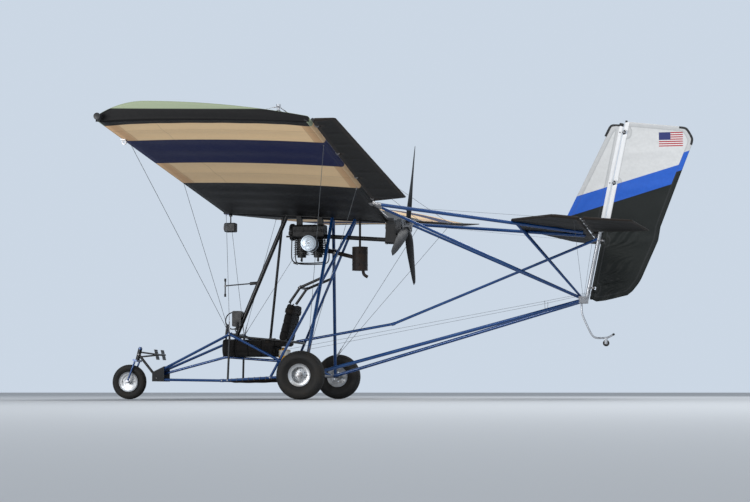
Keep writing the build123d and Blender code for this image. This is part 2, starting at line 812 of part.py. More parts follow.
# Belly tray: canvas laced under the lower side tubes from the posts to the axle.
tray_front = reach_x(bend, lower_foot, KNEE_X)
tray_rear = reach_x(bend, lower_foot, TRAY_REAR_X)
with BuildPart() as belly_tray:
    for end in (tray_front, tray_rear):
        with BuildSketch(Plane(origin=(end.X, 0, end.Z - FRAME_R - TRAY_WALL / 2), x_dir=(0, 1, 0), z_dir=(1, 0, 0))):
            Rectangle(2 * end.Y, TRAY_WALL)
    loft(ruled=True)
    cut(lower_tubes.part)
save(belly_tray.part, "belly_tray")

# Pedals: a cross bar with two foot plates, carried by two rods from the head tube.
with BuildPart() as pedals:
    bar_centre = at(PEDAL_X, 0, PEDAL_Z)
    tube(bar_centre - Vector(0, PEDAL_Y, 0), bar_centre + Vector(0, PEDAL_Y, 0), RAIL_R)
    for end in (-1, 1):
        tube(head + rake * (end * HEAD_LENGTH / 4), bar_centre, RAIL_R - 2)
    for side in SIDES:
        with Locations(bar_centre + Vector(0, side * (PEDAL_Y - PEDAL_WIDTH / 2), 0)):
            Box(PEDAL_WALL, PEDAL_WIDTH, PEDAL_HEIGHT, rotation=(0, -HEAD_RAKE, 0))
    tube(head_low, head_high, HEAD_R, Mode.SUBTRACT)
    cut(head_tube.part)
save(pedals.part, "pedals")

# Hand controls: a lever on the left seat rail and a stick on the centre tube, both with grips.
lever_foot = reach_x(mirrored(rail_front, -1), mirrored(rail_rear, -1), LEVER_X)
stick_foot = reach_x(centre_socket, centre_bend, STICK_X)
stick_top = at(STICK_X + 40, 0, STICK_TOP_Z)
with BuildPart() as hand_controls:
    lever_top = lever_foot + Vector(0, 0, LEVER_LENGTH)
    tube(lever_foot, lever_top, ROD_R)
    tube(between(lever_foot, lever_top, 0.45), lever_top, GRIP_R)
    tube(stick_foot, stick_top, BLADE_R)
    tube(between(stick_foot, stick_top, 0.66), stick_top, GRIP_R)
    cut(seat_frame.part, centre_tube.part)
save(hand_controls.part, "hand_controls")

# Instrument pod: a small box clipped to the front of the down tube.
with BuildPart() as instrument_pod:
    with Locations(reach_z(down_top, down_foot, POD_Z) + Vector(-POD_SET, 0, 0)):
        Box(*POD_SIZE)
    fillet(instrument_pod.edges().filter_by(Axis.Y), 14)
    cut(down_tube.part)
save(instrument_pod.part, "instrument_pod")

# Pitot boom: a rod ahead of the down tube with an upright bar at its end.
pitot_root = reach_z(down_top, down_foot, PITOT_Z + 25)
pitot_end = at(PITOT_X, 0, PITOT_Z)
with BuildPart() as pitot_boom:
    tube(pitot_end, pitot_root, ROD_R)
    bar_low = pitot_end + Vector(0, 0, PITOT_BAR[0])
    bar_high = pitot_end + Vector(0, 0, PITOT_BAR[1])
    tube(bar_low, bar_high, ROD_R)
    tube(bar_low, between(bar_low, bar_high, 0.16), RAIL_R)
    tube(between(bar_low, bar_high, 0.84), bar_high, RAIL_R)
    tube(between(pitot_end, pitot_root, 0.74), pitot_root, GRIP_R)
    cut(down_tube.part)
save(pitot_boom.part, "pitot_boom")

# Front light: a dark box hung on a stem under the root tube's front end.
light_centre = at(LIGHT_X, 0, LIGHT_Z)
with BuildPart() as front_light:
    with Locations(light_centre):
        Box(*LIGHT_SIZE)
    fillet(front_light.edges(), LIGHT_ROUNDING)
    tube(light_centre, root_axis(LIGHT_X), ROD_R)
    cut(root_tube.part)
save(front_light.part, "front_light")

# Fuel bottle: stands on the centre tube behind the seat base, with a screw cap.
bottle_floor = reach_x(centre_bend, centre_end, BOTTLE_X).Z + FRAME_R - 3
with BuildPart() as fuel_bottle:
    with BuildSketch(Plane(origin=at(BOTTLE_X, -20, bottle_floor))):
        RectangleRounded(BOTTLE_LENGTH, BOTTLE_WIDTH, CAP_R)
    extrude(amount=BOTTLE_HEIGHT)
    cap_foot = at(BOTTLE_X, -BOTTLE_WIDTH / 3, bottle_floor + BOTTLE_HEIGHT)
    tube(cap_foot, cap_foot + Vector(0, 0, CAP_R), CAP_R)
    cut(centre_tube.part, seat_base.part)
save(fuel_bottle.part, "fuel_bottle")

# Engine: crankcase under the root tube with two finned barrels that hang down.
with BuildPart() as engine:
    with Locations(at(ENGINE_X, 0, CASE_TOP_Z)):
        Box(ENGINE_LENGTH, CASE_WIDTH, CASE_HEIGHT, align=(Align.CENTER, Align.CENTER, Align.MAX))
    fillet(engine.edges().filter_by(Axis.X), 24)
    for end in (-1, 1):
        mount_x = ENGINE_X + end * ENGINE_LENGTH * 0.34
        with Locations(at(mount_x, 0, CASE_TOP_Z)):
            Box(46, 70, root_axis(mount_x).Z - CASE_TOP_Z, align=(Align.CENTER, Align.CENTER, Align.MIN))
    barrel_top = CASE_TOP_Z - CASE_HEIGHT
    for end in (-1, 1):
        barrel_x = ENGINE_X + end * CYLINDER_SPACING / 2
        barrel_length = FIN_COUNT * FIN_PITCH
        tube(at(barrel_x, 0, barrel_top), at(barrel_x, 0, barrel_top - barrel_length), BARREL_R)
        for step in range(FIN_COUNT):
            with BuildSketch(Plane(origin=at(barrel_x, 0, barrel_top - (step + 1) * FIN_PITCH))):
                RectangleRounded(FIN_SIZE, FIN_SIZE, FIN_SIZE / 5)
            extrude(amount=FIN_WALL)
        tube(
            at(barrel_x, 0, barrel_top - barrel_length),
            at(barrel_x, 0, barrel_top - barrel_length - HEAD_CAP),
            BARREL_R - 6,
        )
    cut(root_tube.part)
save(engine.part, "engine")

# Air filter: a round filter on the left of the engine, on a carburettor against the barrel fins.
filter_x = ENGINE_X + 50
with BuildPart() as air_filter:
    filter_way = Vector(0, -1, 0)
    carburettor = at(filter_x, -FIN_SIZE / 2, FILTER_Z)
    filter_face = carburettor + filter_way * FILTER_STAND
    tube(carburettor, carburettor + filter_way * (FILTER_STAND / 2), 27)
    tube(carburettor, filter_face, 20)
    tube(filter_face, filter_face + filter_way * FILTER_LENGTH, FILTER_R)
    tube(filter_face, filter_face + filter_way * (FILTER_LENGTH + 6), FILTER_R - 8)
save(air_filter.part, "air_filter")

# Exhaust: a pipe from the rear barrel to an upright can hung under the root tube on a strap.
muffler_top = at(MUFFLER_X, 0, MUFFLER_TOP_Z)
muffler_low = at(MUFFLER_X, 0, MUFFLER_LOW_Z)
port = at(ENGINE_X + CYLINDER_SPACING / 2, FIN_SIZE / 2, PORT_Z)
with BuildPart() as exhaust:
    tube(muffler_low, muffler_top, MUFFLER_R)
    for end, way in ((muffler_low, -1), (muffler_top, 1)):
        tube(end, end + Vector(0, 0, way * CAN_END), MUFFLER_R)
    elbow = at(PIPE_TURN_X, PIPE_Y, PORT_Z)
    corner = Vector(port.X, elbow.Y, port.Z)
    bent_tube([port, corner, elbow, between(muffler_low, muffler_top, 0.5)], PIPE_R)
    tube(muffler_low, muffler_top, MUFFLER_R - CAN_WALL, Mode.SUBTRACT)
    strap_top = Vector(muffler_top.X, 0, root_axis(MUFFLER_X).Z)
    for side in SIDES:
        strap = Vector(0, side * (ROOT_TUBE_R - PLATE_WALL), 0)
        tube(muffler_top + strap, strap_top + strap, ROD_R)
    cut(root_tube.part, engine.part)
save(exhaust.part, "exhaust")

# Drive: both shafts run along the root tube; the upper one carries the propeller.
drive_way = (te_root - le_root).normalized()
hub_centre = at(PROP_HUB_X, 0, PROP_HUB_Z)


def prop_axis(x):
    """Point on the propeller shaft's centre line."""
    return hub_centre + drive_way * ((AXLE_X + x - hub_centre.X) / drive_way.X)


def drive_axis(x):
    """Point on the drive shaft's centre line, under the propeller shaft."""
    return prop_axis(x) - Vector(0, 0, DRIVE_DROP)


bearing_front = PROP_HUB_X - 200
bearing_rear = bearing_front + 95
# Reduction drive: the tube of the drive shaft, the bearing block under the root tube's rear end
# and a guard round the belt.
bearing_length = bearing_rear - bearing_front
with BuildPart() as reduction_drive:
    tube(drive_axis(ENGINE_X + ENGINE_LENGTH / 2 - 3), drive_axis(bearing_front + 15), DRIVE_TUBE_R)
    with BuildSketch(Plane(origin=prop_axis(bearing_front), x_dir=(0, 1, 0), z_dir=drive_way)):
        with Locations((0, -DRIVE_DROP / 2)):
            RectangleRounded(86, DRIVE_DROP + 76, 20)
    extrude(amount=bearing_length + GUARD_WALL)
    with BuildSketch(Plane(origin=prop_axis(bearing_front), x_dir=(0, 1, 0), z_dir=drive_way)):
        Rectangle(50, 2 * (root_axis(bearing_front).Z - prop_axis(bearing_front).Z))
    extrude(amount=bearing_length - 20)
    guard_r = SMALL_PULLEY_R + 20
    with BuildSketch(Plane(origin=prop_axis(bearing_rear), x_dir=(0, 1, 0), z_dir=drive_way)):
        with Locations((0, -DRIVE_DROP)):
            Circle(guard_r)
        with Locations((0, -DRIVE_DROP / 2)):
            Rectangle(2 * guard_r, DRIVE_DROP)
    extrude(amount=PULLEY_WIDTH + 2 * GUARD_WALL + 6)
    tube(
        prop_axis(bearing_rear + GUARD_WALL),
        prop_axis(bearing_rear + GUARD_WALL + PULLEY_WIDTH + 40),
        PULLEY_R + EYE_CLEARANCE,
        Mode.SUBTRACT,
    )
    tube(prop_axis(bearing_front - 5), prop_axis(bearing_rear + 20), PROP_SHAFT_R + BEARING_GAP, Mode.SUBTRACT)
    cut(root_tube.part, engine.part, exhaust.part)
save(reduction_drive.part, "reduction_drive")

# Propeller hub: shaft, belt pulley with grooves, and the plates that clamp the blades.
pulley_front = bearing_rear + GUARD_WALL + 3
with BuildPart() as prop_hub:
    tube(prop_axis(bearing_front - 12), prop_axis(PROP_HUB_X + 40), PROP_SHAFT_R)
    tube(prop_axis(pulley_front), prop_axis(pulley_front + PULLEY_WIDTH), PULLEY_R)
    for groove in range(4):
        groove_x = pulley_front + PULLEY_WIDTH * (groove + 0.6) / 4.2
        with Locations(Plane(origin=prop_axis(groove_x), z_dir=drive_way)):
            Torus(PULLEY_R, 3, mode=Mode.SUBTRACT)
    tube(prop_axis(PROP_HUB_X - 26), prop_axis(PROP_HUB_X + 26), 38)
    tube(prop_axis(PROP_HUB_X - 34), prop_axis(PROP_HUB_X - 26), 62)
    tube(prop_axis(PROP_HUB_X + 26), prop_axis(PROP_HUB_X + 34), 62)
    with Locations(Plane(origin=prop_axis(PROP_HUB_X + 26), z_dir=drive_way)):
        with PolarLocations(SPINNER_PCD / 2, SPINNER_HOLES):
            Cylinder(SPINNER_HOLE_R, 12, align=(Align.CENTER, Align.CENTER, Align.MIN), mode=Mode.SUBTRACT)
save(prop_hub.part, "prop_hub")

# Propeller blades: each lofted from a round-backed root to a thin twisted tip.
# Columns: share of the radius, chord, thickness, pitch angle in degrees.
BLADE_SECTIONS = (
    (0.06, 46, 34, 52),
    (0.18, 84, 24, 42),
    (0.45, 104, 15, 27),
    (0.80, 84, 9, 18),
    (1.00, 46, 5, 14),
)
with BuildPart() as prop_blades:
    for number in range(BLADE_COUNT):
        angle = radians(BLADE_START + number * 360 / BLADE_COUNT)
        upright = Vector(-drive_way.Z, 0, drive_way.X)
        out = upright * cos(angle) + Vector(0, 1, 0) * sin(angle)
        turn = drive_way.cross(out)
        slices = []
        for share, chord, thick, pitch in BLADE_SECTIONS:
            chord_way = turn * cos(radians(pitch)) + drive_way * sin(radians(pitch))
            with BuildSketch(Plane(origin=hub_centre + out * (PROP_R * share), x_dir=chord_way, z_dir=out)) as slice_:
                with BuildLine():
                    ThreePointArc((-chord / 2, 0), (0, thick * 0.75), (chord / 2, 0))
                    ThreePointArc((chord / 2, 0), (0, -thick * 0.25), (-chord / 2, 0))
                make_face()
            slices.append(slice_.sketch)
        loft(sections=slices)
    cut(prop_hub.part)
save(prop_blades.part, "prop_blades")

# Tail booms: an upper pair under the stabiliser, a lower pair from the axle, and the V tubes.
boom_rear = at(BOOM_REAR_X, UPPER_BOOM_REAR_Y, UPPER_BOOM_REAR_Z)
boom_front = at(BOOM_FRONT_X, UPPER_BOOM_Y, BOOM_FRONT_Z)
v_front = at(BOOM_FRONT_X, V_TUBE_Y, BOOM_FRONT_Z - 6)
v_rear = at(JOINT_X, V_TUBE_REAR_Y, JOINT_Z + 12)
low_front = at(0, LOWER_BOOM_AXLE_Y, MAIN_TYRE_R)
low_rear = at(JOINT_X, LOWER_BOOM_REAR_Y, JOINT_Z)

# Stabiliser: two skins over a frame, closed at the edges, that lie on the upper booms.
boom_run = boom_rear - boom_front
stab_way = Vector(boom_run.X, 0, boom_run.Z).normalized()
stab_rise = BOOM_R + STAB_THICKNESS / 2 - 2
stab_up = Vector(-stab_way.Z, 0, stab_way.X)
stab_datum = reach_x(boom_front, boom_rear, STAB_REAR_X) + stab_up * stab_rise
stab_datum = Vector(stab_datum.X, 0, stab_datum.Z)
stab_plane = Plane(origin=stab_datum, x_dir=stab_way, z_dir=stab_up)


def stab_local(x, y):
    """Place on the stabiliser's middle plane, measured from its rear edge."""
    return ((x - STAB_REAR_X) / stab_way.X, y)


def stab_sketch(inset):
    """Outline of the stabiliser, drawn in from its edges."""
    with BuildSketch(stab_plane) as outline:
        with BuildLine():
            Polyline(
                stab_local(STAB_FRONT_X, -STAB_FRONT_Y),
                stab_local(STAB_FRONT_X, STAB_FRONT_Y),
                stab_local(STAB_TIP_X, STAB_TIP_Y),
                stab_local(STAB_REAR_X, STAB_TIP_Y),
                stab_local(STAB_REAR_X, -STAB_TIP_Y),
                stab_local(STAB_TIP_X, -STAB_TIP_Y),
                close=True,
            )
        make_face()
        if inset:
            offset(amount=-inset, kind=Kind.INTERSECTION)
    return outline.sketch


with BuildPart() as stab_body:
    extrude(stab_sketch(0), amount=STAB_THICKNESS / 2, both=True)
    fillet(stab_body.edges(), STAB_THICKNESS * 0.3)

with BuildPart() as stabiliser:
    add(stab_body.part)
    extrude(stab_sketch(STAB_THICKNESS / 2), amount=STAB_THICKNESS / 2 - SKIN_WALL, both=True, mode=Mode.SUBTRACT)
save(stabiliser.part, "stabiliser")

with BuildPart() as upper_booms:
    for side in SIDES:
        tube(mirrored(boom_front, side), mirrored(boom_rear, side), BOOM_R)
    cut(stab_body.part)
save(upper_booms.part, "upper_booms")

with BuildPart() as lower_booms:
    for side in SIDES:
        tube(mirrored(low_front, side), mirrored(low_rear, side), BOOM_R)
    cut(main_axle.part)
save(lower_booms.part, "lower_booms")

# Stern post: carries the rudder, along a line ahead of its hinge.
rudder_foot = at(RUDDER_HINGE_FOOT_X, 0, RUDDER_HINGE_FOOT_Z)
rudder_head = at(RUDDER_HINGE_TOP_X, 0, RUDDER_HINGE_TOP_Z)
hinge_up = (rudder_head - rudder_foot).normalized()
post_ahead = Vector(-POST_AHEAD, 0, 0)
post_low = reach_z(rudder_foot, rudder_head, JOINT_Z - 20) + post_ahead
post_top = rudder_head + post_ahead
with BuildPart() as stern_post:
    tube(post_low, post_top, POST_R)
save(stern_post.part, "stern_post")

# Middle boom: from the bar behind the seat, bent under the propeller, to the stern post.
mid_start = at(REAR_BAR_X, 0, REAR_BAR_Z + 8)
mid_bend = at(MID_BEND_X, 0, MID_BEND_Z)
mid_end = reach_z(post_low, post_top, MID_REAR_Z)
with BuildPart() as middle_boom:
    bent_tube([mid_start, mid_bend, mid_end], FRAME_R)
    cut(seat_frame.part, stern_post.part)
save(middle_boom.part, "middle_boom")

# Tail struts: the V tubes from the wing brackets, and braces from the stabiliser's front corners.
with BuildPart() as tail_struts:
    for side in SIDES:
        tube(mirrored(v_front, side), mirrored(v_rear, side), FRAME_R)
        brace_top = at(STAB_FRONT_X + 22, side * (STAB_FRONT_Y - 18), BRACE_TOP_Z)
        brace_foot = at(JOINT_X - 8, side * (RAIL_R + 2), JOINT_Z + 16)
        tube(brace_top, brace_foot, RAIL_R)
    cut(stab_body.part, upper_booms.part, stern_post.part)
save(tail_struts.part, "tail_struts")

# Fittings: collars on the rear spars with sockets for the upper booms and the V tubes, and the
# block that gathers the tail struts, the lower booms and the foot of the stern post.
with BuildPart() as fittings:
    for side in SIDES:
        collar_in = mirrored(spar_at(te_root, te_tip, V_TUBE_Y - COLLAR_LAP), side)
        collar_out = mirrored(spar_at(te_root, te_tip, UPPER_BOOM_Y + COLLAR_LAP), side)
        tube(collar_in, collar_out, REAR_R + 5)
        for front, rear, radius in ((boom_front, boom_rear, BOOM_R), (v_front, v_rear, FRAME_R)):
            socket = mirrored(front, side)
            run = (mirrored(rear, side) - socket).normalized()
            tube(mirrored(spar_at(te_root, te_tip, front.Y), side), socket, radius + PLATE_WALL)
            tube(socket - run * SOCKET_BACK, socket + run * SOCKET_DEPTH, radius + PLATE_WALL)
    with Locations(at(JOINT_X, 0, JOINT_Z + JOINT_RISE)):
        Box(*JOINT_SIZE)
    cut(wing_right.part, wing_left.part, spars.part, upper_booms.part)
    cut(tail_struts.part, lower_booms.part, stern_post.part)
save(fittings.part, "fittings")

# Fin: a fixed panel from the stabiliser up to the head of the stern post.
fin_foot_z = stab_datum.Z + STAB_THICKNESS / 2 + SKIN_WALL
post_at_fin = reach_z(post_low, post_top, fin_foot_z)
with BuildPart() as fin:
    with BuildSketch(Plane.XZ):
        with BuildLine():
            Polyline(
                (AXLE_X + FIN_FRONT_X, stab_datum.Z + (STAB_REAR_X - FIN_FRONT_X) * FIN_RISE + STAB_THICKNESS / 4),
                (AXLE_X + FIN_TOP_X, FIN_TOP_Z),
                (post_top.X, post_top.Z - POST_R),
                (post_at_fin.X, fin_foot_z),
                (AXLE_X + STAB_REAR_X - SURFACE_EDGE, fin_foot_z),
                (AXLE_X + STAB_REAR_X - STAB_THICKNESS, stab_datum.Z),
                close=True,
            )
        make_face()
    extrude(amount=SURFACE_THICKNESS / 2, both=True)
    cut(stern_post.part, stab_body.part)
save(fin.part, "fin")

# Rudder: two skins swept back from a torque tube, notched round its eyes, with a horn at its foot.
rudder_eyes = [between(rudder_foot, rudder_head, share) for share in RUDDER_EYES]
tube_foot = rudder_foot - hinge_up * 10
tube_head = rudder_head + hinge_up * 30
rudder_low_plane = Plane(origin=rudder_foot - hinge_up * RUDDER_HORN_Y, x_dir=(1, 0, 0), z_dir=(0, 0, 1))
rudder_high_plane = Plane(origin=rudder_head + hinge_up * RUDDER_HORN_Y, x_dir=(1, 0, 0), z_dir=(0, 0, 1))
with BuildPart() as rudder_inside:
    loft(
        sections=[
            panel_end(rudder_low_plane, RUDDER_CHORD, SKIN_WALL),
            panel_end(rudder_high_plane, RUDDER_CHORD, SKIN_WALL),
        ],
        ruled=True,
    )
    with BuildSketch(Plane.XZ):
        with BuildLine():
            Polyline(
                (rudder_foot.X + 2 * SKIN_START, rudder_foot.Z + SKIN_START),
                (rudder_head.X + SKIN_START, rudder_head.Z - 2 * SKIN_START),
                *((AXLE_X + x - SKIN_START, z) for x, z in RUDDER_OUTLINE[1:RUDDER_HEEL]),
                close=True,
            )
        make_face()
    extrude(amount=RUDDER_HORN_Y, both=True, mode=Mode.INTERSECT)

with BuildPart() as rudder:
    loft(
        sections=[
            panel_end(rudder_low_plane, RUDDER_CHORD),
            panel_end(rudder_high_plane, RUDDER_CHORD),
        ],
        ruled=True,
    )
    with BuildSketch(Plane.XZ):
        with BuildLine():
            Polyline(
                (tube_foot.X, tube_foot.Z + HINGE_TUBE_R),
                (tube_head.X, tube_head.Z - SURFACE_EDGE),
                *((AXLE_X + x, z) for x, z in RUDDER_OUTLINE),
                close=True,
            )
        make_face()
    extrude(amount=RUDDER_HORN_Y, both=True, mode=Mode.INTERSECT)
    notch_eyes(tube_foot, tube_head, rudder_eyes)
    tube(tube_foot, tube_head, HINGE_TUBE_R)
    cut(rudder_inside.part)
    with Locations(rudder_foot + hinge_up * RUDDER_HORN_RISE + Vector(HORN_LENGTH / 3, 0, 0)):
        Box(HORN_LENGTH, 2 * RUDDER_HORN_Y, HORN_WALL)
save(rudder.part, "rudder")

# Elevator: two panels on one torque tube, parted by the gap the rudder swings in.
elevator_hinge = stab_datum + Vector(ELEVATOR_HINGE_BACK, 0, 0)
elevator_eyes = [elevator_hinge + Vector(0, side * y, 0) for y in ELEVATOR_EYES for side in SIDES]
elevator_tip = elevator_hinge + Vector(0, STAB_TIP_Y, 0)
with BuildPart() as elevator_tube:
    tube(elevator_hinge - Vector(0, STAB_TIP_Y, 0), elevator_tip, HINGE_TUBE_R)
save(elevator_tube.part, "elevator_tube")

droop_way = chord_direction(ELEVATOR_DROOP)
elevator_chord = ELEVATOR_CORNER_X - STAB_REAR_X
elevator_root_plane = Plane(origin=elevator_hinge, x_dir=droop_way, z_dir=(0, -1, 0))
elevator_tip_plane = Plane(origin=elevator_tip, x_dir=droop_way, z_dir=(0, -1, 0))
with BuildPart() as elevator_inside:
    loft(
        sections=[
            panel_end(elevator_root_plane, elevator_chord, SKIN_WALL),
            panel_end(elevator_tip_plane, elevator_chord, SKIN_WALL),
        ],
        ruled=True,
    )
    with BuildSketch(Plane.XY.offset(elevator_hinge.Z - RUDDER_HORN_Y)):
        with BuildLine():
            Polyline(
                (elevator_hinge.X + SKIN_START, ELEVATOR_ROOT_Y + SKIN_START),
                (AXLE_X + ELEVATOR_CORNER_X - SKIN_START, ELEVATOR_CORNER_Y),
                (AXLE_X + ELEVATOR_TIP_X - SKIN_START, STAB_TIP_Y - SKIN_START),
                (elevator_hinge.X + SKIN_START, STAB_TIP_Y - SKIN_START),
                close=True,
            )
        make_face()
    extrude(amount=2 * RUDDER_HORN_Y, mode=Mode.INTERSECT)

with BuildPart() as elevator_right:
    loft(
        sections=[
            panel_end(elevator_root_plane, elevator_chord),
            panel_end(elevator_tip_plane, elevator_chord),
        ],
        ruled=True,
    )
    with BuildSketch(Plane.XY.offset(elevator_hinge.Z - RUDDER_HORN_Y)):
        with BuildLine():
            Polyline(
                (elevator_hinge.X, ELEVATOR_ROOT_Y),
                (AXLE_X + ELEVATOR_CORNER_X, ELEVATOR_CORNER_Y),
                (AXLE_X + ELEVATOR_TIP_X, STAB_TIP_Y),
                (elevator_hinge.X, STAB_TIP_Y),
                close=True,
            )
        make_face()
    extrude(amount=2 * RUDDER_HORN_Y, mode=Mode.INTERSECT)
    notch_eyes(elevator_hinge, elevator_tip, elevator_eyes)
    cut(elevator_tube.part, elevator_inside.part)
save(elevator_right.part, "elevator_right")

with BuildPart() as elevator_left:
    mirror(elevator_right.part, about=Plane.XZ)
save(elevator_left.part, "elevator_left")

# Hinge eyes: rings on stems that carry the torque tubes of all the moving surfaces.
def eye(centre, way, root):
    """One ring round a torque tube, with a stem to the fixed part."""
    half = way * (EYE_LENGTH / 2)
    tube(centre - half, centre + half, HINGE_TUBE_R + EYE_WALL)
    tube(centre, root, EYE_STEM_R)


with BuildPart() as hinge_eyes:
    for place in rudder_eyes:
        eye(place, hinge_up, place + post_ahead)
        tube(place - hinge_up * EYE_LENGTH, place + hinge_up * EYE_LENGTH, HINGE_TUBE_R + HINGE_PLAY, Mode.SUBTRACT)
    for place in elevator_eyes:
        eye(place, Vector(0, 1, 0), place - stab_way * (ELEVATOR_HINGE_BACK + 4))
    tube(elevator_hinge - Vector(0, STAB_TIP_Y, 0), elevator_tip, HINGE_TUBE_R + HINGE_PLAY, Mode.SUBTRACT)
    for side in SIDES:
        start = mirrored(hinge_root, side)
        end = mirrored(hinge_tip, side)
        way = (end - start).normalized()
        for eye_y in AILERON_EYES:
            place = aileron_eye(eye_y)
            eye(mirrored(place, side), way, mirrored(place - spar_chord * HINGE_BACK, side))
        tube(start, end, HINGE_TUBE_R + HINGE_PLAY, Mode.SUBTRACT)
    cut(stern_post.part, stab_body.part, wing_right.part, wing_left.part, spars.part)
save(hinge_eyes.part, "hinge_eyes")

# Tail skid: a bent tube under the tail joint, with a small wheel on a pin at its low end.
skid_path = [at(x, 0, z) for x, z in SKID_POINTS]
skid_end = skid_path[-1]
wheel_spot = at(TAIL_WHEEL_X, 0, TAIL_WHEEL_Z)
with BuildPart() as tail_skid:
    bent_tube(skid_path, SKID_R)
    for side in SIDES:
        cheek_y = side * (TAIL_WHEEL_WIDTH / 2 + CHEEK_WALL / 2 + END_GAP)
        with Locations(wheel_spot + Vector(0, cheek_y, -FORK_LENGTH / 6)):
            Box(FORK_WIDTH, CHEEK_WALL, FORK_LENGTH, align=(Align.CENTER, Align.CENTER, Align.MIN))
    with Locations(wheel_spot + Vector(0, 0, FORK_CROWN_Z)):
        Box(FORK_WIDTH, TAIL_WHEEL_WIDTH + 2 * CHEEK_WALL, FORK_CROWN_HEIGHT)
    pin_half = Vector(0, TAIL_WHEEL_WIDTH / 2 + CHEEK_WALL, 0)
    tube(wheel_spot - pin_half, wheel_spot + pin_half, TAIL_PIN_R)
    cut(fittings.part, stern_post.part)
save(tail_skid.part, "tail_skid")

with BuildPart() as tail_wheel:
    wheel_half = Vector(0, TAIL_WHEEL_WIDTH / 2, 0)
    tube(wheel_spot - wheel_half, wheel_spot + wheel_half, TAIL_WHEEL_R)
    fillet(tail_wheel.edges(), 5)
    tube(wheel_spot - wheel_half, wheel_spot + wheel_half, TAIL_PIN_R + BEARING_GAP, Mode.SUBTRACT)
save(tail_wheel.part, "tail_wheel")

# Tie-down rings: a saddle under each leading edge with a ring for a mooring line.
with BuildPart() as tie_downs:
    for side in SIDES:
        perch = mirrored(spar_at(le_root, le_tip, TIE_DOWN_Y), side)
        ring_centre = perch - Vector(0, 0, NOSE_R + TIE_DOWN_R + TIE_DOWN_STEM)
        with Locations(perch - Vector(0, 0, NOSE_R)):
            Box(*SADDLE_SIZE)
        with Locations(Plane(origin=ring_centre, z_dir=(0, 1, 0))):
            Cylinder(TIE_DOWN_R + TIE_DOWN_WALL, TIE_DOWN_STEM)
            Cylinder(TIE_DOWN_R, TIE_DOWN_STEM, mode=Mode.SUBTRACT)
    cut(wing_right.part, wing_left.part, spars.part)
save(tie_downs.part, "tie_down_rings")

# Main stays: straight wires from the knees and the axle to the spars, and from the kingpost down.
stay_foot = reach_z(strut_foot, strut_top, STAY_FOOT_Z)
with BuildPart() as main_stays:
    for side in SIDES:
        for y in (STAY_INNER_Y, STAY_OUTER_Y):
            tube(mirrored(knee, side), mirrored(spar_at(le_root, le_tip, y), side), WIRE_R)
            tube(mirrored(stay_foot, side), mirrored(spar_at(te_root, te_tip, y), side), WIRE_R)
        tube(mirrored(knee, side), mirrored(spar_at(le_root, le_tip, STAY_ROOT_Y), side), WIRE_R)
    for step, y in enumerate((STAY_OUTER_Y, STAY_INNER_Y)):
        perch = kingpost_top - Vector(0, 0, step * STAY_SPACING)
        for side in SIDES:
            tube(perch, mirrored(spar_at(le_root, le_tip, y), side), WIRE_R)
            tube(perch, mirrored(spar_at(te_root, te_tip, y), side), WIRE_R)
    low_perch = kingpost_top - Vector(0, 0, 2 * STAY_SPACING)
    for x in (ROOT_TUBE_FRONT_X + STAY_SPACING, ROOT_TUBE_REAR_X - STAY_SPACING):
        tube(low_perch, root_axis(x), WIRE_R)
    cut(wing_right.part, wing_left.part, spars.part, root_tube.part, kingpost.part)
    cut(upper_tubes.part, knee_frame.part, pylon_struts.part)
save(main_stays.part, "main_stays")
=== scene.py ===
import bmesh
import bpy
import json
import math
from mathutils import Matrix, Vector, geometry, noise

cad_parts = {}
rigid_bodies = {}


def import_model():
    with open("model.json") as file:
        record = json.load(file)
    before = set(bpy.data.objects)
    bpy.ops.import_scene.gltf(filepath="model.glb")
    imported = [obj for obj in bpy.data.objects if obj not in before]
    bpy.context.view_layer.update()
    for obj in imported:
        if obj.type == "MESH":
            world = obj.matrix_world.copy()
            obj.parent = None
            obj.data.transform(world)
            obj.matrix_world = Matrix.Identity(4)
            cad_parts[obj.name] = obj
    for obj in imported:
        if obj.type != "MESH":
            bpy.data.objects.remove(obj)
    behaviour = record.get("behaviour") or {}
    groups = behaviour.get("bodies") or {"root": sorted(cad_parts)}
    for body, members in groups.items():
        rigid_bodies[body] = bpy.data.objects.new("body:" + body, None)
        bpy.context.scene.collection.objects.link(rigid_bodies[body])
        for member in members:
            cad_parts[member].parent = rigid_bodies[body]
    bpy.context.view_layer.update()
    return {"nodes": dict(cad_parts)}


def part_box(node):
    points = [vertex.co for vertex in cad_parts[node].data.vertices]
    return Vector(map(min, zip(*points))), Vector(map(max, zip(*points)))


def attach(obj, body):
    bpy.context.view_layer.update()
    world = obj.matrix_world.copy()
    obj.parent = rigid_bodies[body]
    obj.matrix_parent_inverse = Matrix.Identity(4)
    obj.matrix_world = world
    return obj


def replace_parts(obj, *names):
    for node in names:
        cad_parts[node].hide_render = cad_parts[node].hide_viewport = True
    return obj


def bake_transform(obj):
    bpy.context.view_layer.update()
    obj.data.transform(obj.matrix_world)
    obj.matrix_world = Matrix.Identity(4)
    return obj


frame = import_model()
nodes = frame["nodes"]
bpy.ops.object.select_all(action="DESELECT")

# The main axle's place along X, from which every station on the aircraft is counted, in metres.
axle_x = (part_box("main_axle")[0].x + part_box("main_axle")[1].x) / 2


# Tubes of the fuselage, booms and struts: drawn alloy tube, enamelled dark blue, with a little
# dust and small scuffs where hands and straps rub it. The pod's tubes are enamelled black.
def joined(tree, kind, **values):
    """A shader node with its named sockets set or wired."""
    node = tree.nodes.new(kind)
    for name, value in values.items():
        socket = node.inputs[name.replace("_", " ")]
        if isinstance(value, bpy.types.NodeSocket):
            tree.links.new(value, socket)
        else:
            socket.default_value = value
    return node


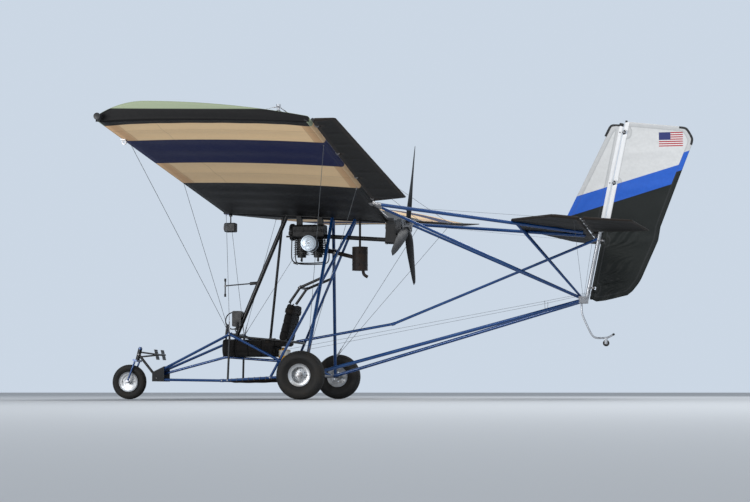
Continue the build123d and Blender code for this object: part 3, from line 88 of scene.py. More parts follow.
def sum_of(tree, operation, first, second, third=None):
    """One arithmetic node between sockets or numbers."""
    node = tree.nodes.new("ShaderNodeMath")
    node.operation = operation
    for index, value in enumerate((first, second, third)):
        if isinstance(value, bpy.types.NodeSocket):
            tree.links.new(value, node.inputs[index])
        elif value is not None:
            node.inputs[index].default_value = value
    return node.outputs[0]


def blended(tree, mask, first, second):
    """Colour between two colours by a mask."""
    node = tree.nodes.new("ShaderNodeMix")
    node.data_type = "RGBA"
    for key, value in ((0, mask), (6, first), (7, second)):
        if isinstance(value, bpy.types.NodeSocket):
            tree.links.new(value, node.inputs[key])
        else:
            node.inputs[key].default_value = value
    return node.outputs[2]


def weathering_group():
    """Dust and scuffs over any finish: a patchy mask, a fine mask and a height."""
    group = bpy.data.node_groups.new("weathering", "ShaderNodeTree")
    face = group.interface
    face.new_socket("Patch scale", in_out="INPUT", socket_type="NodeSocketFloat")
    face.new_socket("Grain scale", in_out="INPUT", socket_type="NodeSocketFloat")
    for name in ("Patches", "Scuffs", "Height"):
        face.new_socket(name, in_out="OUTPUT", socket_type="NodeSocketFloat")
    way_in = group.nodes.new("NodeGroupInput")
    way_out = group.nodes.new("NodeGroupOutput")
    place = group.nodes.new("ShaderNodeTexCoord").outputs["Object"]
    patches = joined(group, "ShaderNodeTexNoise", Vector=place, Scale=way_in.outputs[0], Detail=5.0,
                     Roughness=0.6)
    grain = joined(group, "ShaderNodeTexNoise", Vector=place, Scale=way_in.outputs[1], Detail=3.0,
                   Roughness=0.7)
    scuffs = joined(group, "ShaderNodeMapRange", Value=grain.outputs[0], From_Min=0.58, From_Max=0.75)
    soft = joined(group, "ShaderNodeMapRange", Value=patches.outputs[0], From_Min=0.42, From_Max=0.72)
    group.links.new(soft.outputs[0], way_out.inputs[0])
    group.links.new(scuffs.outputs[0], way_out.inputs[1])
    group.links.new(grain.outputs[0], way_out.inputs[2])
    return group


weathering = weathering_group()


def finish_of(name, colour, worn, roughness, metallic=0.0, patch=3.0, grain=90.0, bump=0.1, depth=0.0006,
              dull=0.18, scuffed=0.4, coat=0.0, shine=0.5):
    """A weathered finish: base and worn colour by patches, roughness and relief by the grain."""
    material = bpy.data.materials.new(name)
    material.use_nodes = True
    tree = material.node_tree
    shader = tree.nodes["Principled BSDF"]
    wear = tree.nodes.new("ShaderNodeGroup")
    wear.node_tree = weathering
    wear.inputs[0].default_value = patch
    wear.inputs[1].default_value = grain
    tone = sum_of(tree, "MULTIPLY", wear.outputs[0], 0.5)
    tone = sum_of(tree, "MULTIPLY_ADD", wear.outputs[1], scuffed, tone)
    tone = sum_of(tree, "MINIMUM", tone, 1.0)
    tree.links.new(blended(tree, tone, (*colour, 1), (*worn, 1)), shader.inputs["Base Color"])
    rough = sum_of(tree, "MULTIPLY_ADD", wear.outputs[0], dull, roughness)
    tree.links.new(rough, shader.inputs["Roughness"])
    relief = joined(tree, "ShaderNodeBump", Strength=bump, Distance=depth, Height=wear.outputs[2])
    tree.links.new(relief.outputs[0], shader.inputs["Normal"])
    shader.inputs["Metallic"].default_value = metallic
    shader.inputs["Coat Weight"].default_value = coat
    shader.inputs["Specular IOR Level"].default_value = shine
    return material


def dress(material, *names):
    """Give CAD nodes their finish."""
    for name in names:
        for holder in nodes[name].material_slots:
            holder.link = "OBJECT"
            holder.material = material


blue_enamel = finish_of("blue_enamel", (0.002, 0.045, 0.18), (0.008, 0.070, 0.22), 0.22, metallic=0.3,
                        coat=0.6)
black_enamel = finish_of("black_enamel", (0.005, 0.005, 0.006), (0.016, 0.015, 0.015), 0.35, coat=0.1,
                         shine=0.35)
dress(blue_enamel, "upper_booms", "lower_booms", "middle_boom", "tail_struts", "pylon_struts",
      "upper_side_tubes", "lower_side_tubes", "centre_tube", "nose_fork")
dress(black_enamel, "down_tube", "seat_strut", "seat_support", "knee_frame", "seat_frame", "root_tube",
      "head_tube", "pedals", "pitot_boom", "nose_bracket")

# Spars and kingpost: plain alloy tube. The kingpost is left bright and dulled by weather, the spars
# and the elevator's torque tube are anodised dark.
bare_alloy = finish_of("bare_alloy", (0.52, 0.53, 0.55), (0.42, 0.42, 0.43), 0.36, metallic=1.0,
                       grain=60.0, bump=0.02)
dark_alloy = finish_of("dark_alloy", (0.02, 0.02, 0.022), (0.05, 0.05, 0.05), 0.4, metallic=0.6)
dress(bare_alloy, "kingpost")
dress(dark_alloy, "spars", "elevator_tube")

# Fittings, hinge eyes, mooring rings and axle: plated steel and machined alloy, a little rusty in
# the corners. The stays are stainless cable.
plated_steel = finish_of("plated_steel", (0.35, 0.35, 0.36), (0.16, 0.12, 0.09), 0.36, metallic=1.0,
                         patch=14.0, scuffed=0.6)
stay_wire = finish_of("stay_wire", (0.20, 0.21, 0.22), (0.10, 0.10, 0.10), 0.4, metallic=0.9, patch=30.0)
dress(plated_steel, "fittings", "hinge_eyes", "tie_down_rings", "main_axle")
dress(stay_wire, "main_stays")

# Ways in the row frame, and the two sides of the aircraft.
aft = Vector((1, 0, 0))
right = Vector((0, 1, 0))
upward = Vector((0, 0, 1))
hands = ((-1, "left"), (1, "right"))


# End caps: a pale one pushed into the open front end of the root tube, and black ones in the outer
# ends of the front spars.
def shaped(name, body, material):
    """Name the piece just modelled, apply its place, give it its finish and its body, if it has one."""
    piece = bpy.context.object
    piece.name = name
    bpy.ops.object.transform_apply(location=True, rotation=True, scale=True)
    piece.data.materials.clear()
    piece.data.materials.append(material)
    if body:
        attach(piece, body)
    piece.select_set(False)
    return piece


def rod(start, end, radius, sides=24, bevel=0.0):
    """A round bar between two points, with its rims bevelled."""
    run = end - start
    bpy.ops.mesh.primitive_cylinder_add(vertices=sides, radius=radius, depth=run.length,
                                        location=(start + end) / 2,
                                        rotation=run.to_track_quat("Z", "Y").to_euler())
    bar = bpy.context.object
    if bevel:
        edge = bar.modifiers.new("bevel", "BEVEL")
        edge.width = bevel
        edge.segments = 3
        edge.limit_method = "ANGLE"
        bpy.ops.object.modifier_apply(modifier="bevel")
    bpy.ops.object.shade_smooth_by_angle(angle=math.radians(35))
    return bar


def axial(base, way, low, high, radius, sides=24, bevel=0.0):
    """A round bar on an axis through a base, between two distances along its way."""
    return rod(base + way * low, base + way * high, radius, sides, bevel)


def united(bars):
    """Join the bars just made into one piece."""
    for bar in bars:
        bar.select_set(True)
    bpy.context.view_layer.objects.active = bars[0]
    bpy.ops.object.join()
    return bars[0]


def fitting(name, body, material, bars):
    """One named piece out of the bars just made."""
    united(bars)
    return shaped(name, body, material)


def station(x, y, z):
    """Place in the row frame from a station aft of the main axle, in metres."""
    return Vector((axle_x + x, y, z))


lavender_cap = finish_of("lavender_cap", (0.32, 0.33, 0.55), (0.22, 0.22, 0.36), 0.5, patch=20.0)
half_span = 4.2
le_root = station(-0.920, 0, 1.806)
le_tip = station(-0.765, half_span, 2.085)


def chord_way(incidence):
    """Way along a chord whose rear end is lowered by the incidence in degrees."""
    return Vector((math.cos(math.radians(incidence)), 0, -math.sin(math.radians(incidence))))


te_root = le_root + chord_way(4.0) * 1.552
te_tip = le_tip + chord_way(1.8) * 1.564
root_way = (te_root - le_root).normalized()
axial(le_root - root_way * 0.030, root_way, 0, 0.05, 0.0295, 32, 0.002)
shaped("root_tube_cap", "airframe", lavender_cap)
caps = []
for side in (-1, 1):
    tip = Vector((le_tip.x, side * le_tip.y, le_tip.z))
    caps.append(axial(tip, (tip - le_root).normalized(), 0.045, 0.0655, 0.0262, 32, 0.003))
fitting("spar_caps", "airframe", black_enamel, caps)


# Sails: a double surface of polyester sailcloth on each wing. The upper cloth wraps both spars and
# is pulled over curved ribs, the lower one is laced across underneath, and a cloth panel closes the
# tip. Bands of black, cream and navy are sewn together chordwise. The cream is painted brighter than
# the cloth, a painted glow of light shining through it; darker strips along both edges are painted
# shadow of the spars, and thin brown lines over the ribs are painted shadows of the frame inside.
def weave_group():
    """Woven cloth: crossed threads as a height, and slubs as a tint."""
    group = bpy.data.node_groups.new("weave", "ShaderNodeTree")
    group.interface.new_socket("Threads", in_out="INPUT", socket_type="NodeSocketFloat")
    group.interface.new_socket("Height", in_out="OUTPUT", socket_type="NodeSocketFloat")
    group.interface.new_socket("Slubs", in_out="OUTPUT", socket_type="NodeSocketFloat")
    way_in = group.nodes.new("NodeGroupInput")
    way_out = group.nodes.new("NodeGroupOutput")
    place = group.nodes.new("ShaderNodeTexCoord").outputs["Object"]
    height = None
    for direction in ("X", "Y", "Z"):
        threads = group.nodes.new("ShaderNodeTexWave")
        threads.bands_direction = direction
        group.links.new(place, threads.inputs["Vector"])
        group.links.new(way_in.outputs[0], threads.inputs["Scale"])
        threads.inputs["Distortion"].default_value = 0.6
        height = threads.outputs[1] if height is None else sum_of(group, "ADD", height, threads.outputs[1])
    slubs = joined(group, "ShaderNodeTexNoise", Vector=place, Scale=40.0, Detail=4.0)
    group.links.new(height, way_out.inputs[0])
    group.links.new(slubs.outputs[0], way_out.inputs[1])
    return group


weave = weave_group()


def cloth_base(name, roughness, threads=150.0, relief=0.2, depth=0.0004, sheen=0.0):
    """A woven cloth material with its tree and the socket of its slubs, its colour still to be wired."""
    material = bpy.data.materials.new(name)
    material.use_nodes = True
    tree = material.node_tree
    shader = tree.nodes["Principled BSDF"]
    cloth = tree.nodes.new("ShaderNodeGroup")
    cloth.node_tree = weave
    cloth.inputs[0].default_value = threads
    bump = joined(tree, "ShaderNodeBump", Strength=relief, Distance=depth, Height=cloth.outputs[0])
    tree.links.new(bump.outputs[0], shader.inputs["Normal"])
    rough = sum_of(tree, "MULTIPLY_ADD", cloth.outputs[1], 0.2, roughness)
    tree.links.new(rough, shader.inputs["Roughness"])
    shader.inputs["Sheen Weight"].default_value = sheen
    shader.inputs["Specular IOR Level"].default_value = 0.15
    return material, tree, cloth.outputs[1]


def coloured(tree, colour):
    """Wire a colour to the material of a tree."""
    tree.links.new(colour, tree.nodes["Principled BSDF"].inputs["Base Color"])


def place_of(tree):
    """X from the main axle, distance from the middle, and height, as three sockets."""
    split = tree.nodes.new("ShaderNodeSeparateXYZ")
    tree.links.new(tree.nodes.new("ShaderNodeTexCoord").outputs["Object"], split.inputs[0])
    return (sum_of(tree, "SUBTRACT", split.outputs[0], axle_x), sum_of(tree, "ABSOLUTE", split.outputs[1], 0),
            split.outputs[2])


def within(tree, value, low, high, soft=0.002):
    """1 between two limits and 0 outside, with an edge as soft as a seam."""
    rise = joined(tree, "ShaderNodeMapRange", Value=value, From_Min=low - soft, From_Max=low + soft)
    fall = joined(tree, "ShaderNodeMapRange", Value=value, From_Min=high - soft, From_Max=high + soft,
                  To_Min=1.0, To_Max=0.0)
    return sum_of(tree, "MULTIPLY", rise.outputs[0], fall.outputs[0])


def kept_value(tree, name):
    """A value kept on a piece's own points."""
    node = tree.nodes.new("ShaderNodeAttribute")
    node.attribute_name = name
    return node.outputs["Fac"]


# The cream tones are brighter and more orange than the cloth itself. This is a painted glow of light shining
# through it.
glow_painted_cream = (0.92, 0.66, 0.38, 1)
glow_painted_cream_slub = (0.82, 0.57, 0.32, 1)
navy = (0.003, 0.007, 0.058, 1)
black = (0.004, 0.0038, 0.004, 1)
sage = (0.24, 0.28, 0.19, 1)
rib_places = (0.045, 0.43, 0.85, 1.27, 1.70, 2.15, 2.60, 3.05, 3.50, 3.85, 4.198)
band_edges = ((-1.0, 1.70, black), (2.60, 3.50, navy), (4.05, 5.0, black))


def sailcloth(name, tip_colour, spar_shadow_colour):
    """Banded cloth with seams between the bands, painted shadows of the ribs and of a line at a quarter of
    the chord, painted shadow of the spars along both edges, and stitch rows.
    """
    material, tree, slubs = cloth_base(name, 0.45)
    from_middle = place_of(tree)[1]
    share = kept_value(tree, "chord_place")
    front_shadow_edge = 0.062
    rear_shadow_edge = 0.960
    colour = blended(tree, slubs, glow_painted_cream_slub, glow_painted_cream)
    # Darker strips along both edges are painted shadow of the spars seen through the cloth.
    edge_strip = sum_of(tree, "ADD", within(tree, share, -0.1, front_shadow_edge, 0.012),
                 within(tree, share, rear_shadow_edge, 1.1, 0.006))
    colour = blended(tree, sum_of(tree, "MULTIPLY", edge_strip, 0.45), colour, spar_shadow_colour)
    for low, high, band in band_edges:
        mask = within(tree, from_middle, low, high)
        colour = blended(tree, mask, colour, tip_colour if low > 4 else band)
    # Thin brown lines at a quarter of the chord and over each rib are painted shadows of the inner frame seen
    # through the cloth. The rows at the inner edges of the spar shadow are stitches.
    shadow_lines_and_stitches = within(tree, share, 0.2488, 0.2512, 0.001)
    for rib in rib_places[1:-1]:
        shadow_lines_and_stitches = sum_of(tree, "ADD", shadow_lines_and_stitches, within(tree, from_middle, rib - 0.004, rib + 0.004, 0.003))
    for stitch in (front_shadow_edge, rear_shadow_edge):
        row = within(tree, share, stitch - 0.0012, stitch + 0.0012, 0.001)
        shadow_lines_and_stitches = sum_of(tree, "ADD", shadow_lines_and_stitches, row)
    shadow_lines_and_stitches = sum_of(tree, "MULTIPLY", sum_of(tree, "MINIMUM", shadow_lines_and_stitches, 1.0), 0.45)
    shadow_and_stitch_brown = blended(tree, 0.75, colour, (0.02, 0.010, 0.006, 1))
    coloured(tree, blended(tree, shadow_lines_and_stitches, colour, shadow_and_stitch_brown))
    return material


# The last colour of each cloth is the colour of its painted spar shadow.
lower_cloth = sailcloth("lower_sailcloth", black, (0.42, 0.155, 0.045, 1))
upper_cloth = sailcloth("upper_sailcloth", sage, (0.30, 0.16, 0.08, 1))

tip_cloth, tree, slubs = cloth_base("tip_cloth", 0.45)
over_seam = within(tree, kept_value(tree, "chord_place"), 0.072, 2.0, 0.003)
coloured(tree, blended(tree, over_seam, black, sage))
black_cloth, tree, slubs = cloth_base("black_cloth", 0.6, sheen=0.02)
ink = (0.003, 0.003, 0.003, 1)
ink_worn = (0.010, 0.009, 0.008, 1)
coloured(tree, blended(tree, slubs, ink, ink_worn))

nose_r = 0.0284
rear_r = 0.022


def clamped(value):
    """The value kept between 0 and 1."""
    return max(0.0, min(1.0, value))


def crown_at(y):
    """Height of the upper cloth over the chord line, which falls away at the tip."""
    return 0.178 - 0.050 * max(0.0, (y - 3.85) / 0.35)


def upper_profile(chord, crown):
    """Upper cloth from under the front spar, over the ribs and round the rear spar."""
    peak = 0.22 * chord
    points = []
    for step in range(9):
        angle = math.radians(-90 - 130 * step / 8)
        points.append((nose_r * math.cos(angle), nose_r * math.sin(angle)))
    foot = points[-1]
    front = ((foot[0] - peak) ** 2 + (foot[1] - crown) ** 2) / (2 * (crown - foot[1]))
    for step in range(1, 15):
        x = foot[0] + (peak - foot[0]) * math.sin(math.pi / 2 * step / 14)
        points.append((x, crown - front + math.sqrt(front ** 2 - (x - peak) ** 2)))
    rear = ((chord - peak) ** 2 + (rear_r - crown) ** 2) / (2 * (crown - rear_r))
    for step in range(1, 33):
        x = peak + (chord - peak) * step / 32
        points.append((x, crown - rear + math.sqrt(rear ** 2 - (x - peak) ** 2)))
    for step in range(1, 7):
        angle = math.radians(90 - 180 * step / 6)
        points.append((chord + rear_r * math.cos(angle), rear_r * math.sin(angle)))
    return points


def lower_height(share):
    """Height of the lower cloth, which runs under both spars and is drawn up a little between them."""
    lift = 0.014 - rear_r + (nose_r + rear_r) / 2
    return -nose_r + (nose_r - rear_r) * share + lift * 4 * share * (1 - share)


def lower_profile(chord):
    """Lower cloth between the undersides of the two spars."""
    return [(chord * (step / 40), lower_height(step / 40)) for step in range(41)]


def wing_section(y, side):
    """Nose point, chord length, and the ways along and over the chord at a span station."""
    nose = le_root.lerp(le_tip, y / half_span)
    rear = te_root.lerp(te_tip, y / half_span)
    along = (rear - nose).normalized()
    return Vector((nose.x, side * y, nose.z)), (rear - nose).length, along, Vector((-along.z, 0, along.x))


def cloth_rows(side, upper):
    """Rows of points of one cloth, drawn in between the ribs, with the share of the chord of each."""
    stations = [(rib_places[0], 0.0)]
    for inner, outer in zip(rib_places, rib_places[1:]):
        stations += [(inner + (outer - inner) * step / 10, step / 10) for step in range(1, 11)]
    rows = []
    shares = []
    for y, bay in stations:
        nose, chord, along, over = wing_section(y, side)
        profile = upper_profile(chord, crown_at(y)) if upper else lower_profile(chord)
        row = []
        for x, z in profile:
            share = x / chord
            middle = clamped((share - 0.03) / 0.1) * clamped((0.97 - share) / 0.1)
            pull = math.sin(math.pi * bay) ** 2 * middle
            ripple = math.sin(share * 37 + y * 9) * math.sin(bay * math.pi) * middle * 0.0008
            drawn = -0.007 * pull + ripple if upper else 0.008 * pull + ripple
            row.append(nose + along * x + over * (z + drawn))
            shares.append(share)
        rows.append(row)
    return rows, shares


def smooth_piece(name, points, faces, material):
    """A smooth mesh from its points and faces, made active."""
    mesh = bpy.data.meshes.new(name)
    mesh.from_pydata(points, [], faces)
    mesh.polygons.foreach_set("use_smooth", [True] * len(mesh.polygons))
    mesh.materials.append(material)
    piece = bpy.data.objects.new(name, mesh)
    bpy.context.collection.objects.link(piece)
    bpy.context.view_layer.objects.active = piece
    return piece


def walled(piece, thickness, offset):
    """Give the active cloth its thickness, on one side or on both."""
    wall = piece.modifiers.new("wall", "SOLIDIFY")
    wall.thickness = thickness
    wall.offset = offset
    bpy.ops.object.modifier_apply(modifier="wall")


def cloth_piece(name, rows, shares, turned, material, thickness=0.0015):
    """Mesh of one cloth from its rows of points, thickened on its inner side."""
    count = len(rows[0])
    faces = []
    for row in range(len(rows) - 1):
        for column in range(count - 1):
            corner = row * count + column
            face = (corner, corner + 1, corner + count + 1, corner + count)
            faces.append(face[::-1] if turned else face)
    piece = smooth_piece(name, [point for row in rows for point in row], faces, material)
    piece.data.attributes.new("chord_place", "FLOAT", "POINT").data.foreach_set("value", shares)
    walled(piece, thickness, -1)
    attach(piece, "airframe")
    return piece


for side, hand in hands:
    for upper, layer, material in ((True, "upper", upper_cloth), (False, "lower", lower_cloth)):
        rows, shares = cloth_rows(side, upper)
        sail = cloth_piece(f"sail_{layer}_{hand}", rows, shares, (side < 0) == upper, material)
        if upper:
            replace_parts(sail, f"wing_{hand}")
    # The tip and root panels close the sail between its two cloths.
    for y, end in ((rib_places[-1], "tip"), (rib_places[0], "root")):
        nose, chord, along, over = wing_section(y, side)
        top = [point for point in upper_profile(chord, crown_at(y)) if point[1] > 0.0]
        rows = []
        shares = []
        for level in range(7):
            row = []
            for x, z in top:
                share = clamped(x / chord)
                bottom = lower_height(share)
                height = bottom + (z - bottom) * level / 6
                inward = 0.008 * math.sin(math.pi * level / 6) * math.sin(math.pi * share)
                inset = -inward if end == "tip" else inward
                row.append(nose + along * x + over * height + right * (side * inset))
                shares.append(height)
            rows.append(row)
        material = tip_cloth if end == "tip" else black_cloth
        panel = cloth_piece(f"sail_{end}_panel_{hand}", rows, shares, (side < 0) == (end == "root"), material)


# Tail surfaces and ailerons: frames of thin tube covered with cloth, which is sewn into a sleeve
# round each edge, stretched from rib to rib, and cut back where the hinge eyes come through.
def covered_panel(name, outline, place, half, ribs, material, body, pitch=0.024):
    """Closed cover over a tube frame: round along its edges, crested on its ribs, drawn in between."""
    corners = [Vector(corner) for corner in outline]
    edges = list(zip(corners, corners[1:] + corners[:1]))
    if sum(start.x * end.y - end.x * start.y for start, end in edges) < 0:
        corners.reverse()
        edges = list(zip(corners, corners[1:] + corners[:1]))

    def from_line(spot, start, end):
        run = end - start
        share = clamped((spot - start).dot(run) / run.length_squared)
        return (spot - start - run * share).length

    def from_edge(spot):
        return min(from_line(spot, start, end) for start, end in edges)

    def from_rib(spot):
        return min((from_line(spot, Vector(start), Vector(end)) for start, end in ribs), default=1.0)

    def inside(spot):
        crossed = False
        for start, end in edges:
            if (start.y > spot.y) != (end.y > spot.y):
                if spot.x < start.x + (end.x - start.x) * (spot.y - start.y) / (end.y - start.y):
                    crossed = not crossed
        return crossed

    rim = []
    spots = []
    for start, end in edges:
        run = end - start
        count = max(1, round(run.length / pitch))
        inward = Vector((-run.y, run.x)).normalized()
        for step in range(count + 1):
            spot = start.lerp(end, step / count)
            if step < count:
                rim.append(spot)
            for share in (0.12, 0.4, 1.0, 1.8):
                deep = half(spot) * share
                inner = spot + inward * deep
                if inside(inner) and abs(from_edge(inner) - deep) < 0.0003:
                    spots.append(inner)
    for start, end in ribs:
        start, end = Vector(start), Vector(end)
        run = end - start
        across = Vector((-run.y, run.x)).normalized()
        count = max(1, round(run.length / pitch))
        for step in range(count + 1):
            for offset in (-0.014, -0.006, 0.0, 0.006, 0.014):
                spot = start.lerp(end, step / count) + across * offset
                if inside(spot) and from_edge(spot) > 1.9 * half(spot):
                    spots.append(spot)
    low = Vector((min(corner.x for corner in corners), min(corner.y for corner in corners)))
    high = Vector((max(corner.x for corner in corners), max(corner.y for corner in corners)))
    for column in range(int((high.x - low.x) / pitch) + 1):
        for row in range(int((high.y - low.y) / pitch) + 1):
            spot = low + Vector((column + 0.5 * (row % 2), row)) * pitch
            if inside(spot) and from_edge(spot) > 2.3 * half(spot) and from_rib(spot) > 0.022:
                spots.append(spot)
    loop = [(index, (index + 1) % len(rim)) for index in range(len(rim))]
    places, _, faces, *_ = geometry.delaunay_2d_cdt(rim + spots, loop, [], 1, 0.00001)
    points = []
    depths = []
    over = []
    under = []
    for spot in places:
        deep = from_edge(spot)
        crest = half(spot)
        rise = crest * math.sqrt(max(0.0, 1 - (1 - min(1.0, deep / crest)) ** 2))
        slack = clamped((deep - crest) / 0.07) * clamped(from_rib(spot) / 0.07)
        slack = slack * slack * (3 - 2 * slack)
        pucker = noise.noise(Vector((spot.x * 9, spot.y * 9, 0.3))) * 0.0016 * slack
        rise = max(0.002, rise - 0.36 * crest * slack + pucker)
        over.append(len(points))
        if deep < 0.0005:
            points.append(place(spot.x, spot.y, 0.0))
            depths.append(0.0)
        else:
            points += [place(spot.x, spot.y, rise), place(spot.x, spot.y, -rise)]
            depths += [deep, deep]
        under.append(len(points) - 1)
    shell = [[over[corner] for corner in face] for face in faces]
    shell += [[under[corner] for corner in reversed(face)] for face in faces]
    piece = smooth_piece(name, points, shell, material)
    piece.data.attributes.new("edge_place", "FLOAT", "POINT").data.foreach_set("value", depths)
    work = bmesh.new()
    work.from_mesh(piece.data)
    bmesh.ops.recalc_face_normals(work, faces=work.faces)
    work.to_mesh(piece.data)
    work.free()
    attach(piece, body)
    return piece


def notched(start, end, eyes, front=0.0125, deep=0.025, long=0.014):
    """Front edge of a panel beside its hinge line, cut back round each eye."""
    way = (end - start).normalized()
    ahead = Vector((-way.y, way.x)) if way.y > 0 else Vector((way.y, -way.x))
    edge = [start + ahead * front]
    for eye in eyes:
        edge += [eye + ahead * front - way * long, eye - ahead * deep - way * long,
                 eye - ahead * deep + way * long, eye + ahead * front + way * long]
    return edge + [end + ahead * front]


def rounded(corners, places, radius):
    """The same outline with some of its corners rounded."""
    smooth = []
    for index, corner in enumerate(corners):
        if index not in places:
            smooth.append(corner)
            continue
        before = (corners[index - 1] - corner).normalized() * radius
        after = (corners[(index + 1) % len(corners)] - corner).normalized() * radius
        for step in range(6):
            share = step / 5
            smooth.append(corner + before * (1 - share) ** 2 + after * share ** 2)
    return smooth


# The black panels' hems are tinted brown, with two rows of stitches.
panel_cloth, tree, slubs = cloth_base("panel_cloth", 0.6, sheen=0.02)
hem_brown = (0.030, 0.022, 0.017, 1)
hem_wide = 0.032
edge = kept_value(tree, "edge_place")
edge_strip = sum_of(tree, "MULTIPLY", within(tree, edge, -0.1, hem_wide), 0.6)
tone = blended(tree, edge_strip, blended(tree, slubs, ink, ink_worn), hem_brown)
rows = sum_of(tree, "ADD", within(tree, edge, hem_wide - 0.002, hem_wide, 0.001),
              within(tree, edge, hem_wide - 0.010, hem_wide - 0.008, 0.001))
coloured(tree, blended(tree, sum_of(tree, "MULTIPLY", rows, 0.6), tone, hem_brown))

# The aileron hangs behind the rear spar on four eyes; its torque tube runs in the front sleeve.
aileron_start = 1.035
aileron_length = 3.145
root_chord = 0.330
tip_chord = 0.170


def aileron_chord(y):
    """Depth of the aileron behind its hinge line at a span station."""
    return root_chord - 0.0509 * (y - aileron_start)


def aileron_half(spot):
    """Half thickness of the aileron, which thins towards the rear edge."""
    return 0.013 - 0.0085 * clamped(spot.x / aileron_chord(spot.y))


for side, hand in hands:
    ends = [te_root.lerp(te_tip, y / half_span) + chord_way(1.8) * 0.041
            for y in (aileron_start, aileron_start + aileron_length)]
    hinge_root, hinge_tip = ends
    edge_root = hinge_root + chord_way(4.0) * root_chord
    edge_tip = hinge_tip + chord_way(-1.8) * tip_chord

    def aileron_place(u, v, h):
        """Place behind the hinge line at a span station, above the panel's middle."""
        share = (v - aileron_start) / aileron_length
        base = hinge_root.lerp(hinge_tip, share)
        way = (edge_root.lerp(edge_tip, share) - base).normalized()
        spot = base + way * u + Vector((-way.z, 0, way.x)) * h
        return Vector((spot.x, side * v, spot.z))

    eyes = [Vector((0, y)) for y in (1.15, 2.10, 3.05, 4.00)]
    outline = notched(Vector((0, aileron_start)), Vector((0, 4.178)), eyes)
    outline += [Vector((tip_chord, 4.178)), Vector((0.319, 1.25))]
    outline = rounded(outline, (len(outline) - 2, len(outline) - 1), 0.03)
    ribs = [((0.03, y), (aileron_chord(y) - 0.012, y)) for y in (1.27, 1.62, 2.32, 2.84, 3.36, 3.72)]
    panel = covered_panel(f"aileron_cover_{hand}", outline, aileron_place, aileron_half, ribs,
                          panel_cloth, f"aileron_{hand}", 0.028)
    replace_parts(panel, f"aileron_{hand}")
    rod(*(Vector((end.x, side * end.y, end.z)) for end in ends), 0.011)
    shaped(f"aileron_torque_tube_{hand}", f"aileron_{hand}", dark_alloy)

# Stabiliser and elevators, on the upper booms: one fixed panel and two that turn behind it.
stab_datum = station(2.5513, 0, 1.5587)
stab_way = Vector((0.99302, 0, -0.11797))
stab_up = Vector((0.11797, 0, 0.99302))
stab_half_span = 1.330
elevator_way = chord_way(4.0)
elevator_up = Vector((-elevator_way.z, 0, elevator_way.x))
elevator_hinge = stab_datum + aft * 0.028
outline = [Vector(((x - 2.548) / 0.99302, y)) for x, y in
           ((1.865, -0.435), (1.865, 0.435), (2.310, stab_half_span), (2.548, stab_half_span),
            (2.548, -stab_half_span), (2.310, -stab_half_span))]
ribs = [((-0.66, 0.0), (-0.03, 0.0))]
for side in (-1, 1):
    ribs += [((-0.66, side * 0.42), (-0.03, side * 0.42)), ((-0.43, side * 0.88), (-0.03, side * 0.88)),
             ((-0.64, side * 0.05), (-0.04, side * 0.40))]
panel = covered_panel("stabiliser_cover", rounded(outline, (2, 5, 0, 1), 0.03),
                      lambda u, v, h: stab_datum + stab_way * u + right * v + stab_up * h,
                      lambda spot: 0.0138, ribs, panel_cloth, "airframe")
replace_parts(panel, "stabiliser")
for side, hand in hands:
    eyes = [Vector((0, y)) for y in (0.30, 0.76, 1.22)]
    outline = notched(Vector((0, 0.062)), Vector((0, stab_half_span)), eyes)
    outline += [Vector((0.4278, stab_half_span)), Vector((0.5480, 0.418))]
    outline = rounded(outline, (len(outline) - 2, len(outline) - 1), 0.04)
    ribs = [((0.03, 0.42), (0.52, 0.43)), ((0.03, 0.86), (0.47, 0.87)), ((0.03, 1.24), (0.42, 0.90))]
    panel = covered_panel(f"elevator_cover_{hand}", outline,
                          lambda u, v, h: (elevator_hinge + elevator_way * u + right * (side * v)
                                           + elevator_up * h),
                          lambda spot: 0.013 - 0.0085 * clamped(spot.x / 0.58), ribs, panel_cloth,
                          "elevator")
    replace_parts(panel, f"elevator_{hand}")

# Fin and rudder: white cloth above, a slanting blue stripe with the white showing over it, black
# cloth below, a bright sleeve along the hinge and a small striped ensign near the top.
tail_cloth, tree, slubs = cloth_base("striped_tail_cloth", 0.42)
tree.nodes["Principled BSDF"].inputs["Specular IOR Level"].default_value = 0.28
x, y, z = place_of(tree)
# The hinge line leans back: its distance aft of the axle at floor level, and how much per metre up.
hinge_x = 2.3709
hinge_slope = 0.20862


def times(first, second):
    """Product of two masks of the tail cloth, or of a mask and its strength."""
    return sum_of(tree, "MULTIPLY", first, second)


def under_line(start, end, step):
    """Mask of what lies under a slanting line on the side of the tail, raised by a step."""
    slope = (end[1] - start[1]) / (end[0] - start[0])
    line = sum_of(tree, "MULTIPLY_ADD", x, slope, start[1] - slope * start[0])
    above = sum_of(tree, "SUBTRACT", z, line)
    return within(tree, sum_of(tree, "SUBTRACT", above, step), -9, 0)


white = blended(tree, slubs, (0.60, 0.61, 0.61, 1), (0.74, 0.75, 0.75, 1))
behind_hinge = sum_of(tree, "SUBTRACT", x, sum_of(tree, "MULTIPLY_ADD", z, hinge_slope, hinge_x))
flag_length = 0.219
flag_height = 0.133
flag_x = sum_of(tree, "SUBTRACT", x, 3.205)
flag_z = sum_of(tree, "SUBTRACT", z, 2.338)
stripes = sum_of(tree, "FRACT", sum_of(tree, "MULTIPLY", flag_z, 6.5 / flag_height), 0)
stripe = sum_of(tree, "LESS_THAN", stripes, 0.5)
ensign = blended(tree, stripe, (0.75, 0.75, 0.75, 1), (0.42, 0.012, 0.025, 1))
canton = times(within(tree, flag_x, -0.1, 0.106, 0.001), within(tree, flag_z, 0.061, 0.3, 0.001))
ensign = blended(tree, canton, ensign, (0.03, 0.04, 0.16, 1))
flag = times(within(tree, flag_x, 0.0, flag_length, 0.001), within(tree, flag_z, 0.0, flag_height, 0.001))
white = blended(tree, flag, white, ensign)
edge = kept_value(tree, "edge_place")
